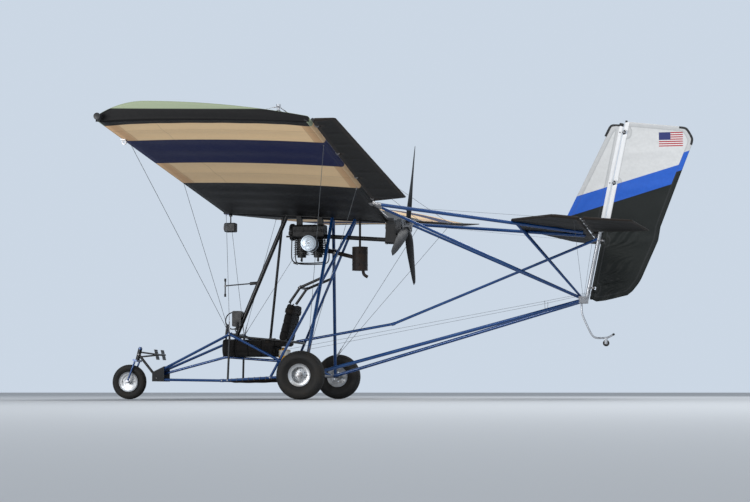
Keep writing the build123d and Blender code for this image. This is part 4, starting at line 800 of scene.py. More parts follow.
edge_strip = within(tree, edge, -0.1, 0.045, 0.0015)
white = blended(tree, times(edge_strip, 0.35), white, (0.36, 0.37, 0.38, 1))
blue = blended(tree, slubs, (0.016, 0.095, 0.48, 1), (0.022, 0.13, 0.60, 1))
dark = blended(tree, slubs, (0.004, 0.0055, 0.005, 1), (0.010, 0.013, 0.011, 1))
# The hem round the rear edge is a strip of its own, and its stripe sits higher than the panel's.
step = times(times(edge_strip, within(tree, x, 3.0, 9.0)), 0.10)
colour = blended(tree, under_line((2.835, 2.004), (3.372, 2.162), step), white, blue)
colour = blended(tree, under_line((2.817, 1.837), (3.312, 1.985), step), colour, dark)
sleeve = times(within(tree, behind_hinge, -0.014, 0.030, 0.001), within(tree, z, 1.62, 2.57))
sleeve = times(sleeve, within(tree, x, 2.68, 9.0))
colour = blended(tree, sleeve, colour, (0.86, 0.87, 0.88, 1))
stitches = within(tree, behind_hinge, 0.031, 0.0325, 0.0008)
for row in (0.0435, 0.037):
    stitches = sum_of(tree, "ADD", stitches, within(tree, edge, row, row + 0.0015, 0.0008))
stitches = times(sum_of(tree, "MINIMUM", stitches, 1.0), 0.55)
coloured(tree, blended(tree, stitches, colour, (0.09, 0.09, 0.10, 1)))

hinge_foot = Vector((2.566, 0.935))
hinge_head = Vector((2.905, 2.560))
hinge_up = (hinge_head - hinge_foot).normalized()
eye_shares = (0.06, 0.33, 0.66, 0.95)
eyes = [hinge_foot.lerp(hinge_head, share) for share in eye_shares]
outline = notched(hinge_foot, hinge_head + hinge_up * 0.020, eyes)
outline += [Vector(corner) for corner in
            ((3.453, 2.516), (3.522, 2.392), (3.379, 2.027), (3.210, 1.590), (3.188, 1.466),
             (3.018, 1.087), (2.948, 1.000), (2.900, 0.962), (2.700, 0.915), (2.612, 0.906))]
last = len(outline) - 1
ribs = [((2.70, 1.455), (3.16, 1.455)), ((2.80, 1.93), (3.32, 1.99)), ((2.62, 1.06), (2.99, 1.10)),
        ((2.88, 2.28), (3.44, 2.30))]


def rudder_half(spot):
    """Half thickness of the rudder, which thins towards its rear edge."""
    return 0.013 - 0.008 * clamped((spot.x - (hinge_x + hinge_slope * spot.y)) / 0.75)


panel = covered_panel("rudder_cover", rounded(outline, (last - 9, last - 8, last - 4), 0.05),
                      lambda u, v, h: station(u, h, v), rudder_half, ribs, tail_cloth, "rudder", 0.013)
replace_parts(panel, "rudder")
# The lower cloth gathers where it is laced to the hinge sleeve.
for point in panel.data.vertices:
    height = point.co.z
    behind = point.co.x - axle_x - (hinge_x + hinge_slope * height)
    if height < 1.64 and 0.02 < behind < 0.34:
        fade = math.sin(math.pi * (behind - 0.02) / 0.32) * min(1.0, (1.64 - height) / 0.1)
        fold = math.sin((height - 0.45 * behind) * 130 + 5 * math.sin(height * 23)) * 0.0075 * fade
        point.co.y += fold if point.co.y > 0 else -fold
rudder_foot = station(hinge_foot.x, 0, hinge_foot.y)
rudder_head = station(hinge_head.x, 0, hinge_head.y)
rudder_up = (rudder_head - rudder_foot).normalized()
rod(rudder_foot - rudder_up * 0.010, rudder_head + rudder_up * 0.030, 0.011)
shaped("rudder_torque_tube", "rudder", black_enamel)


def block(centre, size, bevel, segments=3, smooth=True):
    """A cast or folded box with its edges bevelled."""
    bpy.ops.mesh.primitive_cube_add(size=1, location=centre, scale=size)
    bpy.ops.object.transform_apply(location=True, rotation=True, scale=True)
    bpy.ops.object.mode_set(mode="EDIT")
    bpy.ops.mesh.select_all(action="SELECT")
    bpy.ops.mesh.bevel(offset=bevel, segments=segments, affect="EDGES")
    bpy.ops.object.mode_set(mode="OBJECT")
    if smooth:
        bpy.ops.object.shade_smooth_by_angle(angle=math.radians(35))
    return bpy.context.object


# The rudder's horn: a flat bar across the foot of its tube, swept forward to the wires at its ends.
horn = block(rudder_foot + rudder_up * 0.060 + aft * 0.016, (0.030, 0.180, 0.005), 0.002, 2, False)
for point in horn.data.vertices:
    point.co.x -= 0.011 * abs(point.co.y) / 0.09
shaped("rudder_horn", "rudder", black_enamel)

# Stern post: a straight bright tube just ahead of the hinge, from the tail joint to the fin's top.
post_gap = 0.040
rod(rudder_foot - rudder_up * 0.038 - aft * post_gap, rudder_head - aft * post_gap, 0.019, 48, 0.001)
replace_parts(shaped("bright_post", "airframe", bare_alloy), "stern_post")

# The fin: a narrow panel that stands on the stabiliser and reaches back to the post.
outline = [Vector(corner) for corner in ((2.292, 1.5913), (2.775, 2.556), (2.863, 2.545), (2.659, 1.5757),
                                         (2.540, 1.5757), (2.520, 1.5640))]
panel = covered_panel("fin_cover", rounded(outline, (1,), 0.035), lambda u, v, h: station(u, h, v),
                      lambda spot: 0.013, [((2.50, 1.99), (2.70, 1.90)), ((2.36, 1.62), (2.74, 2.28))],
                      tail_cloth, "airframe")
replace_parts(panel, "fin")

# Black rubber corner pieces join the edge tubes at the fin's top and the rudder's upper corner.
cap_rubber = finish_of("cap_rubber", (0.006, 0.006, 0.006), (0.022, 0.022, 0.022), 0.55, patch=20.0)


def bent_rod(points, radius, sides=3):
    """A thin bar bent smoothly through a few places."""
    bpy.ops.curve.primitive_nurbs_path_add()
    bar = bpy.context.object
    bar.data.splines.clear()
    line = bar.data.splines.new("NURBS")
    line.points.add(len(points) - 1)
    for point, spot in zip(line.points, points):
        point.co = (*spot, 1)
    line.order_u = 3
    line.use_endpoint_u = True
    line.resolution_u = 8
    bar.location = (0, 0, 0)
    bar.data.bevel_depth = radius
    bar.data.bevel_resolution = sides
    bar.data.use_fill_caps = True
    bpy.ops.object.convert(target="MESH")
    bpy.ops.object.shade_smooth_by_angle(angle=math.radians(40))
    return bar


fin_top = ((2.716, 2.446), (2.742, 2.498), (2.764, 2.541), (2.795, 2.5475), (2.858, 2.5400))
rudder_top = ((3.392, 2.5120), (3.440, 2.5080), (3.464, 2.4920), (3.500, 2.4280), (3.511, 2.3930),
              (3.497, 2.3500))
bent_rod([station(x, 0, z) for x, z in fin_top], 0.0142, 5)
shaped("fin_corner", "airframe", cap_rubber)
bent_rod([station(x, 0, z) for x, z in rudder_top], 0.0118, 5)
shaped("rudder_corner", "rudder", cap_rubber)


# Tyres: balloon tyres of black rubber, moulded with rows of small square blocks round the crown,
# and grey with dust on the shoulders. Each turns with its own rim.
tyre_rubber = finish_of("tyre_rubber", (0.007, 0.0065, 0.006), (0.045, 0.038, 0.030), 0.75, patch=7.0,
                        grain=150.0, bump=0.35, depth=0.0012, scuffed=0.25)


def moulded_tyre(hand, body, centre, outer, inner, width, rim_width):
    """Tyre with a round belly, a flattened crown and raised blocks, its beads on the rim."""
    block_height = 0.0035
    turns = 108
    crown = outer - block_height
    belly = (crown + inner) / 2
    round_r = (crown - inner) / 2
    bpy.ops.mesh.primitive_torus_add(location=centre, rotation=(math.radians(90), 0, 0),
                                     major_segments=turns, minor_segments=32, major_radius=belly,
                                     minor_radius=round_r)
    tyre = bpy.context.object
    bpy.ops.object.transform_apply(location=True, rotation=True, scale=True)
    bpy.ops.object.mode_set(mode="EDIT")
    bpy.ops.mesh.select_all(action="SELECT")
    bpy.ops.transform.resize(value=(1, width / (2 * round_r), 1), center_override=centre)
    bpy.ops.object.mode_set(mode="OBJECT")
    for point in tyre.data.vertices:
        away = point.co - centre
        radius = math.hypot(away.x, away.z)
        # Beads drawn in to the rim's width; the crown squared a little at its shoulders.
        if radius < belly:
            share = (belly - radius) / round_r
            bead = math.copysign(rim_width / 2 - 0.009, away.y) * share * min(1.0, abs(away.y) * 30)
            point.co.y = centre.y + away.y * (1 - share) + bead
        else:
            share = (radius - belly) / round_r
            lift = 1 + 0.10 * math.sin(math.pi * share) * round_r / radius
            point.co.x = centre.x + away.x * lift
            point.co.z = centre.z + away.z * lift
    bpy.ops.object.mode_set(mode="EDIT")
    bpy.ops.mesh.select_mode(type="FACE")
    bpy.ops.mesh.select_all(action="DESELECT")
    bpy.ops.object.mode_set(mode="OBJECT")
    # Every other square of the crown is raised as a block, staggered from lane to lane.
    for face in tyre.data.polygons:
        away = face.center - centre
        turn = int((math.atan2(away.z, away.x) + math.pi) / (2 * math.pi / turns))
        lane = int((away.y / width + 0.5) * 11)
        face.select = math.hypot(away.x, away.z) > belly + 0.62 * round_r and (turn + lane) % 2 == 0
    bpy.ops.object.mode_set(mode="EDIT")
    bpy.ops.mesh.inset(thickness=0.0012, use_individual=True)
    bpy.ops.transform.shrink_fatten(value=block_height)
    bpy.ops.mesh.select_all(action="SELECT")
    bpy.ops.mesh.normals_make_consistent(inside=False)
    bpy.ops.object.mode_set(mode="OBJECT")
    limit = outer - 0.0002
    for point in tyre.data.vertices:
        away = point.co - centre
        radius = math.hypot(away.x, away.z)
        if radius > limit:
            point.co = centre + Vector((away.x, 0, away.z)) * (limit / radius) + right * away.y
    bpy.ops.object.shade_smooth_by_angle(angle=math.radians(40))
    shaped(f"moulded_tyre_{hand}", body, tyre_rubber)
    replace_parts(tyre, f"tyre_{hand}")


main_r = 0.222
nose_wheel_r = 0.168
main_hubs = {side: station(0, side * 0.851, main_r) for side in (-1, 1)}
nose_hub = station(-1.891, 0, nose_wheel_r)
for side, hand in hands:
    moulded_tyre(hand, f"main_wheel_{hand}", main_hubs[side], main_r, 0.095, 0.170, 0.120)
moulded_tyre("nose", "nose_wheel", nose_hub, nose_wheel_r, 0.088, 0.098, 0.076)
dress(tyre_rubber, "tail_wheel")

# Rims: spun and cast alloy, greyed by brake dust, with a black rubber valve and six hub screws. A
# hexagon nut on washers holds each wheel on its axle.
rim_alloy = finish_of("rim_alloy", (0.56, 0.57, 0.58), (0.28, 0.27, 0.26), 0.34, metallic=0.85,
                      patch=16.0)
dress(rim_alloy, "rim_left", "rim_right", "rim_nose")
for side, hand in hands:
    hub = main_hubs[side]
    out = right * side
    fitting(f"axle_nut_{hand}", "airframe", plated_steel,
            [axial(hub, out, 0.0705, 0.0800, 0.0175, 6, 0.0015),
             axial(hub, out, 0.0705, 0.0725, 0.022, 32, 0.0006),
             axial(hub, out, 0.0745, 0.0770, 0.0215, 32, 0.0006)])
    axial(hub + aft * 0.070, out, 0.046, 0.070, 0.0042, 16, 0.0015)
    shaped(f"valve_{hand}", f"main_wheel_{hand}", cap_rubber)
    screws = []
    for number in range(6):
        angle = math.radians(30 + number * 60)
        spot = hub + Vector((0.030 * math.cos(angle), side * 0.0595, 0.030 * math.sin(angle)))
        screws.append(axial(spot, out, 0, 0.004, 0.0036, 6, 0.0008))
    fitting(f"hub_screws_{hand}", f"main_wheel_{hand}", plated_steel, screws)
axial(nose_hub + aft * 0.063, right, -0.020, -0.042, 0.0038, 16, 0.0012)
shaped("valve_nose", "nose_wheel", cap_rubber)
bars = []
for side in (-1, 1):
    out = right * side
    bars += [axial(nose_hub, out, 0.0845, 0.0920, 0.0120, 6, 0.0012),
             axial(nose_hub, out, 0.0840, 0.0855, 0.0155, 32, 0.0005)]
fitting("nose_axle_nuts", "nose_fork", plated_steel, bars)


# Seat: a base and a leaning back of foam in black cloth, sewn into channels. The cushions are blown
# up by cloth simulation from the solids' own shapes, then the channels are drawn in.
seat_cloth, tree, slubs = cloth_base("seat_cloth", 0.7, threads=260.0, relief=0.5, sheen=0.05)
tone = blended(tree, slubs, (0.006, 0.006, 0.0065, 1), (0.020, 0.018, 0.017, 1))
coloured(tree, blended(tree, kept_value(tree, "seam"), tone, (0.001, 0.001, 0.001, 1)))


def puffed(name, node, cap, channels):
    """Padded copy of a solid: blown up by a little pressure, with sewn channels drawn in."""
    pad = bpy.data.objects.new(name, nodes[node].data.copy())
    bpy.context.collection.objects.link(pad)
    work = bmesh.new()
    work.from_mesh(pad.data)
    bmesh.ops.remove_doubles(work, verts=work.verts, dist=0.0002)
    work.to_mesh(pad.data)
    work.free()
    pad.data.materials.clear()
    pad.data.materials.append(seat_cloth)
    bpy.ops.object.select_all(action="DESELECT")
    bpy.context.view_layer.objects.active = pad
    pad.select_set(True)
    remesh = pad.modifiers.new("remesh", "REMESH")
    remesh.mode = "VOXEL"
    remesh.voxel_size = 0.006
    bpy.ops.object.modifier_apply(modifier="remesh")
    smooth = pad.modifiers.new("smooth", "SMOOTH")
    smooth.factor = 0.6
    smooth.iterations = 5
    bpy.ops.object.modifier_apply(modifier="smooth")
    start = [point.co.copy() for point in pad.data.vertices]
    blown = pad.modifiers.new("blown", "CLOTH")
    blown.settings.use_pressure = True
    blown.settings.uniform_pressure_force = 4
    blown.settings.quality = 4
    blown.settings.effector_weights.gravity = 0
    blown.point_cache.frame_start = 1
    blown.point_cache.frame_end = 20
    scene = bpy.context.scene
    for frame_number in range(1, 21):
        scene.frame_set(frame_number)
    bpy.ops.object.modifier_apply(modifier="blown")
    scene.frame_set(1)
    for point, was in zip(pad.data.vertices, start):
        moved = point.co - was
        if moved.length > cap:
            point.co = was + moved * (cap / moved.length)
    divide = pad.modifiers.new("divide", "SUBSURF")
    divide.levels = 1
    divide.render_levels = 1
    bpy.ops.object.modifier_apply(modifier="divide")
    normals = [vertex.normal.copy() for vertex in pad.data.vertices]
    seams = []
    for point, normal in zip(pad.data.vertices, normals):
        depth = max(math.exp(-((point.co - spot).dot(way) / 0.006) ** 2) for spot, way in channels)
        point.co -= normal * (0.0055 * depth)
        seams.append(min(1.0, depth * depth * depth))
    pad.data.attributes.new("seam", "FLOAT", "POINT").data.foreach_set("value", seams)
    pad.data.polygons.foreach_set("use_smooth", [True] * len(pad.data.polygons))
    pad.select_set(False)
    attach(pad, "airframe")
    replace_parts(pad, node)


lean = Vector((math.sin(math.radians(14)), 0, math.cos(math.radians(14))))
back_foot = station(-0.336, 0, 0.555)
puffed("seat_base_cushion", "seat_base", 0.008,
       [(station(x, 0, 0.5), aft) for x in (-0.79, -0.66, -0.53, -0.40)])
puffed("seat_back_cushion", "seat_back", 0.009,
       [(back_foot + lean * rise, lean) for rise in (0.085, 0.170, 0.255)])

# Webbing: a band round the upper part of the back, two shoulder straps down its front and a lap
# strap across the base, with a pressed steel buckle.
webbing, tree, slubs = cloth_base("webbing", 0.65, threads=420.0, relief=0.8, depth=0.0006)
coloured(tree, blended(tree, slubs, (0.014, 0.012, 0.011, 1), (0.035, 0.029, 0.024, 1)))


def strap(name, path, way, wide):
    """Flat webbing along a path, its width running along one way."""
    points = []
    for spot in path:
        points += [spot - way * (wide / 2), spot + way * (wide / 2)]
    faces = [(2 * step, 2 * step + 1, 2 * step + 3, 2 * step + 2) for step in range(len(path) - 1)]
    band = smooth_piece(name, points, faces, webbing)
    walled(band, 0.0022, 0)
    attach(band, "airframe")


along_back = Vector((lean.z, 0, -lean.x))
ring = []
for step in range(49):
    angle = 2 * math.pi * step / 48
    y = math.copysign(abs(math.cos(angle)) ** 0.28, math.cos(angle)) * 0.1985
    depth = math.copysign(abs(math.sin(angle)) ** 0.55, math.sin(angle)) * 0.0435
    ring.append(back_foot + lean * 0.288 + right * y + along_back * depth)
strap("back_band", ring, lean, 0.040)
for side, hand in hands:
    path = []
    for share in (step / 24 for step in range(25)):
        ahead = 0.0440 - 0.014 * max(0.0, 1 - 8 * share)
        path.append(back_foot + lean * (0.362 - 0.34 * share) + right * (side * (0.062 + 0.035 * share))
                    - along_back * ahead)
    strap(f"shoulder_strap_{hand}", path, right, 0.045)
path = []
for step in range(41):
    y = -0.196 + 0.392 * step / 40
    edge = max(0.0, (abs(y) - 0.168) / 0.028)
    path.append(station(-0.470, y, 0.5755 - 0.040 * edge * edge))
strap("lap_strap", path, aft, 0.045)
fitting("lap_buckle", "airframe", plated_steel,
        [axial(station(-0.470, 0, 0.5790), right, -0.030, 0.030, 0.004, 16, 0.001),
         block(station(-0.470, 0, 0.5800), (0.056, 0.064, 0.007), 0.003, smooth=False)])

# Belly tray: a hammock of brown canvas under the lower side tubes, its hems laced to the tubes.
tray_canvas, tree, slubs = cloth_base("tray_canvas", 0.8, threads=200.0, relief=0.5)
place = tree.nodes.new("ShaderNodeTexCoord").outputs["Object"]
dirt = joined(tree, "ShaderNodeTexNoise", Vector=place, Scale=6.0, Detail=5.0)
tone = blended(tree, slubs, (0.022, 0.014, 0.009, 1), (0.050, 0.032, 0.020, 1))
coloured(tree, blended(tree, dirt.outputs[0], tone, (0.014, 0.010, 0.008, 1)))
tube_bend = station(-0.890, 0.270, 0.178)
tube_foot = station(0, 0.512, 0.222)
tray_front = tube_bend.lerp(tube_foot, 0.070 / 0.890)
tray_rear = tube_bend.lerp(tube_foot, 0.845 / 0.890)
rows = []
for share in (row / 36 for row in range(37)):
    edge = tray_front.lerp(tray_rear, share)
    line = []
    for over in (-1 + column / 16 for column in range(33)):
        sag = 0.022 * (1 - over * over) * math.sin(math.pi * (0.12 + 0.8 * share))
        ripple = 0.0012 * math.sin(share * 31 + over * 7) * (1 - over * over)
        line.append(Vector((edge.x, over * (edge.y + 0.004), edge.z - 0.0155 - sag + ripple)))
    rows.append(line)
tray = cloth_piece("belly_hammock", rows, [0.5] * (37 * 33), False, tray_canvas, 0.0016)
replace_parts(tray, "belly_tray")
lacing_cord = finish_of("lacing_cord", (0.30, 0.27, 0.22), (0.16, 0.13, 0.10), 0.8, patch=30.0)
ties = []
for side in (-1, 1):
    for number in range(13):
        edge = tray_front.lerp(tray_rear, (number + 0.5) / 13)
        bpy.ops.mesh.primitive_torus_add(location=(edge.x, side * edge.y, edge.z - 0.002),
                                         major_segments=20, minor_segments=6, major_radius=0.0165,
                                         minor_radius=0.0013,
                                         rotation=(0, math.radians(90), math.radians(side * 15)))
        ties.append(bpy.context.object)
fitting("tray_ties", "airframe", lacing_cord, ties)
for side, hand in hands:
    ends = [Vector((edge.x, side * (edge.y + 0.003), edge.z - 0.0160)) for edge in (tray_front, tray_rear)]
    rod(ends[0], ends[1], 0.0030, 12)
    shaped(f"tray_hem_{hand}", "airframe", tray_canvas)


# Engine: a blackened two-barrel unit hung under the root tube, with a ribbed starter housing in
# front, a float bowl under the carburettor, a pleated filter, plug caps and a thin guard bar.
black_casting = finish_of("black_casting", (0.007, 0.007, 0.0075), (0.040, 0.038, 0.036), 0.48,
                          metallic=0.4, patch=22.0)
hub_alloy = finish_of("hub_alloy", (0.12, 0.12, 0.125), (0.06, 0.06, 0.06), 0.38, metallic=0.9,
                      patch=22.0)
filter_gauze = finish_of("filter_gauze", (0.40, 0.46, 0.52), (0.25, 0.30, 0.34), 0.35, metallic=0.6,
                         patch=26.0)
dress(black_casting, "engine", "reduction_drive", "air_filter")
dress(hub_alloy, "prop_hub")


def ring_at(centre, way, radius, thickness, turns=40, sides=10):
    """A round hoop about an axis."""
    bpy.ops.mesh.primitive_torus_add(location=centre, rotation=way.to_track_quat("Z", "Y").to_euler(),
                                     major_segments=turns, minor_segments=sides, major_radius=radius,
                                     minor_radius=thickness)
    bpy.ops.object.shade_smooth_by_angle(angle=math.radians(60))
    return bpy.context.object


starter = station(-0.256, 0, 1.597)
bars = [axial(starter, aft, 0, -0.038, 0.082, 64, 0.008), axial(starter, aft, 0, -0.046, 0.030, 32, 0.004)]
for number in range(16):
    angle = number * math.pi / 8
    out = Vector((0, math.cos(angle), math.sin(angle)))
    bars.append(axial(starter - aft * 0.039, out, 0.036, 0.072, 0.0042, 8))
bars.append(block(starter + Vector((-0.020, -0.086, -0.020)), (0.036, 0.034, 0.030), 0.006))
fitting("starter_housing", "airframe", black_casting, bars)
handle = starter + Vector((-0.020, -0.128, -0.052))
fitting("pull_handle", "airframe", cap_rubber,
        [rod(starter + Vector((-0.020, -0.100, -0.028)), handle, 0.0028, 12),
         axial(handle, aft, -0.032, 0.032, 0.0085, 24, 0.003)])

# Case details: parting flange with eight bolts through it, ribs over the case, and a coil on the
# right side. Below it hang the barrels with their bare fin edges, head nuts and plug caps.
bars = [block(station(-0.105, 0, 1.600), (0.300, 0.198, 0.012), 0.003),
        block(station(-0.105, 0.104, 1.575), (0.090, 0.030, 0.055), 0.006)]
for number in range(7):
    bars.append(block(station(-0.225 + number * 0.040, 0, 1.637), (0.006, 0.186, 0.044), 0.002))
for x in (-0.235, -0.150, -0.060, 0.025):
    for side in (-1, 1):
        bars.append(axial(station(x, side * 0.094, 0), upward, 1.588, 1.612, 0.006, 6, 0.001))
fitting("case_details", "airframe", black_casting, bars)
bare_fins = finish_of("bare_fins", (0.22, 0.22, 0.225), (0.05, 0.05, 0.05), 0.4, metallic=0.9, patch=30.0)
barrel_places = (-0.185, -0.025)
fins = []
for barrel_x in barrel_places:
    for number in range(9):
        z = 1.532 - 0.017 * (number + 1) + 0.0015
        fins.append(block(station(barrel_x, 0, z), (0.1352, 0.1352, 0.0012), 0.0004))
    fins.append(axial(station(barrel_x, 0, 0), upward, 1.353, 1.345, 0.011, 6, 0.001))
fitting("bare_fin_edges", "airframe", bare_fins, fins)
caps = []
for barrel_x in barrel_places:
    caps += [axial(station(barrel_x, 0, 0), upward, 1.346, 1.312, 0.0095, 20, 0.003),
             rod(station(barrel_x, -0.006, 1.318), station(barrel_x, -0.036, 1.326), 0.0065, 16, 0.002)]
fitting("plug_caps", "airframe", cap_rubber, caps)

# Carburettor and filter: float bowl and choke lever, then a drum of pleats between two pressed
# plates, held by a wing nut.
carburettor = station(-0.055, -0.067, 1.466)
left = Vector((0, -1, 0))
bowl = carburettor + left * 0.038
fitting("float_bowl", "airframe", bare_fins,
        [axial(bowl, upward, 0, -0.052, 0.024, 32, 0.004),
         axial(bowl, upward, -0.050, -0.060, 0.010, 6, 0.001),
         rod(bowl - upward * 0.040, carburettor + Vector((-0.045, -0.050, -0.046)), 0.004, 12),
         rod(carburettor + left * 0.070, carburettor + Vector((0.040, -0.078, 0.020)), 0.003, 12),
         axial(carburettor, left, 0.0005, 0.008, 0.034, 24, 0.002)])
filter_foot = carburettor + left * 0.125
centre = filter_foot + left * 0.052
pleat_count = 120
bpy.ops.mesh.primitive_cylinder_add(vertices=pleat_count, radius=0.0745, depth=0.082, location=centre,
                                    rotation=(math.radians(90), 0, 0), end_fill_type="NGON")
pleats = bpy.context.object
bpy.ops.object.transform_apply(location=True, rotation=True, scale=True)
for point in pleats.data.vertices:
    away = point.co - centre
    if round((math.atan2(away.z, away.x) + math.pi) / (2 * math.pi) * pleat_count) % 2:
        point.co.x = centre.x + away.x * 0.95
        point.co.z = centre.z + away.z * 0.95
shaped("filter_pleats", "airframe", black_casting)
face = filter_foot + left * 0.100
fitting("filter_plates", "airframe", filter_gauze,
        [axial(face, left, -0.006, 0.0075, 0.0765, 64, 0.004),
         axial(filter_foot, left, -0.002, 0.010, 0.0765, 64, 0.003)])
fitting("filter_wing_nut", "airframe", plated_steel,
        [ring_at(face + left * 0.0075, left, 0.060, 0.0018, 64, 8),
         ring_at(face + left * 0.0075, left, 0.026, 0.0016, 48, 8),
         axial(face, left, 0.006, 0.016, 0.0055, 16, 0.001),
         block(face + left * 0.013, (0.026, 0.006, 0.010), 0.002)])

# Guard bar: a thin black bar bent under the barrels on each side, from one end of the case to the
# other, with a cross bar in front.
guard_path = ((-0.262, 0.080, 1.560), (-0.268, 0.084, 1.400), (-0.262, 0.084, 1.300),
              (-0.160, 0.084, 1.292), (-0.020, 0.084, 1.292), (0.062, 0.084, 1.300),
              (0.066, 0.080, 1.420), (0.050, 0.060, 1.560))
guard_r = 0.0055
bars = [bent_rod([station(x, side * y, z) for x, y, z in guard_path], guard_r) for side in (-1, 1)]
bars.append(axial(station(-0.245, 0, 1.294), right, -0.084, 0.084, guard_r, 16))
fitting("guard_bar", "airframe", black_enamel, bars)

# Exhaust: a rusty can with rolled seams, two clamp bands, springs at the pipe's joint and a short
# outlet stub.
rusty_can = finish_of("rusty_can", (0.014, 0.011, 0.010), (0.060, 0.030, 0.017), 0.6, metallic=0.4,
                      patch=16.0, bump=0.3, depth=0.001)
dress(rusty_can, "exhaust")
can_low = station(0.382, 0, 1.226)
bars = [ring_at(station(0.382, 0, z), upward, 0.0735, 0.0030, 64) for z in (1.226, 1.442)]
for height in (0.050, 0.166):
    bars.append(axial(can_low, upward, height - 0.008, height + 0.008, 0.0752, 64, 0.001))
    bars.append(block(can_low + Vector((0, -0.079, height)), (0.020, 0.010, 0.020), 0.002))
stub_path = ((0.030, 0.002), (0.032, -0.030), (0.046, -0.052), (0.074, -0.066))
bars.append(bent_rod([can_low + Vector((x, 0, z)) for x, z in stub_path], 0.0150, 6))
fitting("can_bands", "airframe", rusty_can, bars)
elbow = station(0.060, 0.088, 1.420)
pipe_way = (station(0.382, 0, 1.334) - elbow).normalized()
bars = [axial(elbow, pipe_way, 0.060, 0.095, 0.0235, 32, 0.003)]
for side in (-1, 1):
    for number in range(9):
        spot = elbow + pipe_way * (0.052 + 0.0062 * number) + upward * (side * 0.0290)
        bars.append(ring_at(spot, pipe_way, 0.0046, 0.0011, 14, 6))
fitting("pipe_springs", "airframe", plated_steel, bars)

# Drive: bolts round the bearing block, and the ribs of a rubber belt on the large pulley. The
# propeller's axis runs along the root tube's way.
hub_centre = station(0.840, 0, 1.622)


def prop_axis(x):
    """Point on the propeller shaft's centre line."""
    return hub_centre + root_way * ((axle_x + x - hub_centre.x) / root_way.x)


bearing_face = prop_axis(0.640)
bars = [axial(bearing_face, root_way, -0.010, 0, 0.026, 32, 0.003)]
for side in (-1, 1):
    for drop in (0.038, -0.062, -0.163):
        spot = bearing_face + Vector((0, side * 0.033, drop))
        bars.append(axial(spot, root_way, -0.006, 0.002, 0.0062, 6, 0.001))
fitting("bearing_bolts", "airframe", plated_steel, bars)
fitting("belt_ribs", "propeller", cap_rubber,
        [ring_at(prop_axis(0.751 + 0.0088 * number), root_way, 0.0850, 0.0024, 72, 8) for number in range(4)])

# Propeller: black moulded blades, gripped between two alloy plates by six bolts.
blade_black = finish_of("blade_black", (0.006, 0.006, 0.007), (0.022, 0.022, 0.023), 0.5, patch=6.0,
                        shine=0.2)
dress(blade_black, "prop_blades")
upright = Vector((-root_way.z, 0, root_way.x))
bars = [axial(hub_centre, root_way, 0.034, 0.046, 0.0170, 6, 0.002)]
for number in range(6):
    angle = math.radians(60 * number)
    spot = hub_centre + (upright * math.cos(angle) + right * math.sin(angle)) * 0.046
    bars += [axial(spot, root_way, 0.034, 0.041, 0.0072, 6, 0.001),
             axial(spot, root_way, -0.040, -0.034, 0.0072, 6, 0.001)]
fitting("hub_bolts", "propeller", plated_steel, bars)


# Bolts: plated hexagon heads with washers where tubes are pinned through their sleeves and plates,
# one pattern bolt copied to every joint.
def pattern_bolt(size):
    """A washer, a hexagon head and a thread end, standing along Z from the origin."""
    washer = 0.0014
    origin = Vector((0, 0, 0))
    return united([axial(origin, upward, 0, washer, size * 1.25, 20, 0.0004),
                   axial(origin, upward, washer, size * 0.95, size, 6, 0.0008),
                   axial(origin, upward, size * 0.95, size * 1.35, size * 0.5, 12, 0.0005)])


def copied_to(template, spots):
    """Copies of a pattern piece, each turned to its way, joined into one."""
    bpy.ops.object.transform_apply(location=True, rotation=True, scale=True)
    copies = []
    for spot, way in spots:
        copy = template.copy()
        copy.data = template.data.copy()
        bpy.context.collection.objects.link(copy)
        turn = way.to_track_quat("Z", "Y").to_matrix().to_4x4()
        copy.data.transform(Matrix.Translation(spot) @ turn)
        copies.append(copy)
    bpy.data.objects.remove(template)
    return united(copies)


def root_axis(x):
    """Point on the root tube's centre line."""
    return le_root + root_way * ((axle_x + x - le_root.x) / root_way.x)


root_bolts = ((0.118, 0.0375), (0.345, 0.0345), (-0.330, 0.0275), (-0.420, 0.0275))
side_bolts = ((-0.820, 0.2860, 0.615), (-0.890, 0.2860, 0.178), (-0.832, 0.3000, 0.181),
              (-1.560, 0.0745, 0.232), (-1.600, 0.0675, 0.205), (-0.392, 0.4180, 0.2026),
              (2.478, 0.1000, 0.925), (2.512, 0.1000, 0.925), (-0.168, 0.1580, 1.058),
              (-1.800, 0.0200, 0.432), (0.736, 1.0070, 1.7455), (0.736, 0.9387, 1.7395))
top_bolts = ((-0.820, 0.2000, 0.6278), (0, 0.553, 0.2368), (0, 0.512, 0.2368), (0, 0.590, 0.2400),
             (0, 0.700, 0.2400))
joints = []
for side in (-1, 1):
    out = right * side
    joints += [(root_axis(x) + out * y, out) for x, y in root_bolts]
    joints += [(station(x, side * y, z), out) for x, y, z in side_bolts]
    joints += [(station(x, side * y, z), upward) for x, y, z in top_bolts]
    joints += [(rudder_foot.lerp(rudder_head, share) - aft * post_gap + out * 0.0188, out)
               for share in eye_shares]
copied_to(pattern_bolt(0.0062), joints)
shaped("frame_bolts", "airframe", plated_steel)


# Stay ends: a bottle screw between two lock nuts at the foot of each wire, and a swaged sleeve at its
# top.
def spar_spot(root, tip, y, side):
    """Place on a spar's centre line at a span station."""
    spot = root.lerp(tip, y / half_span)
    return Vector((spot.x, side * y, spot.z))


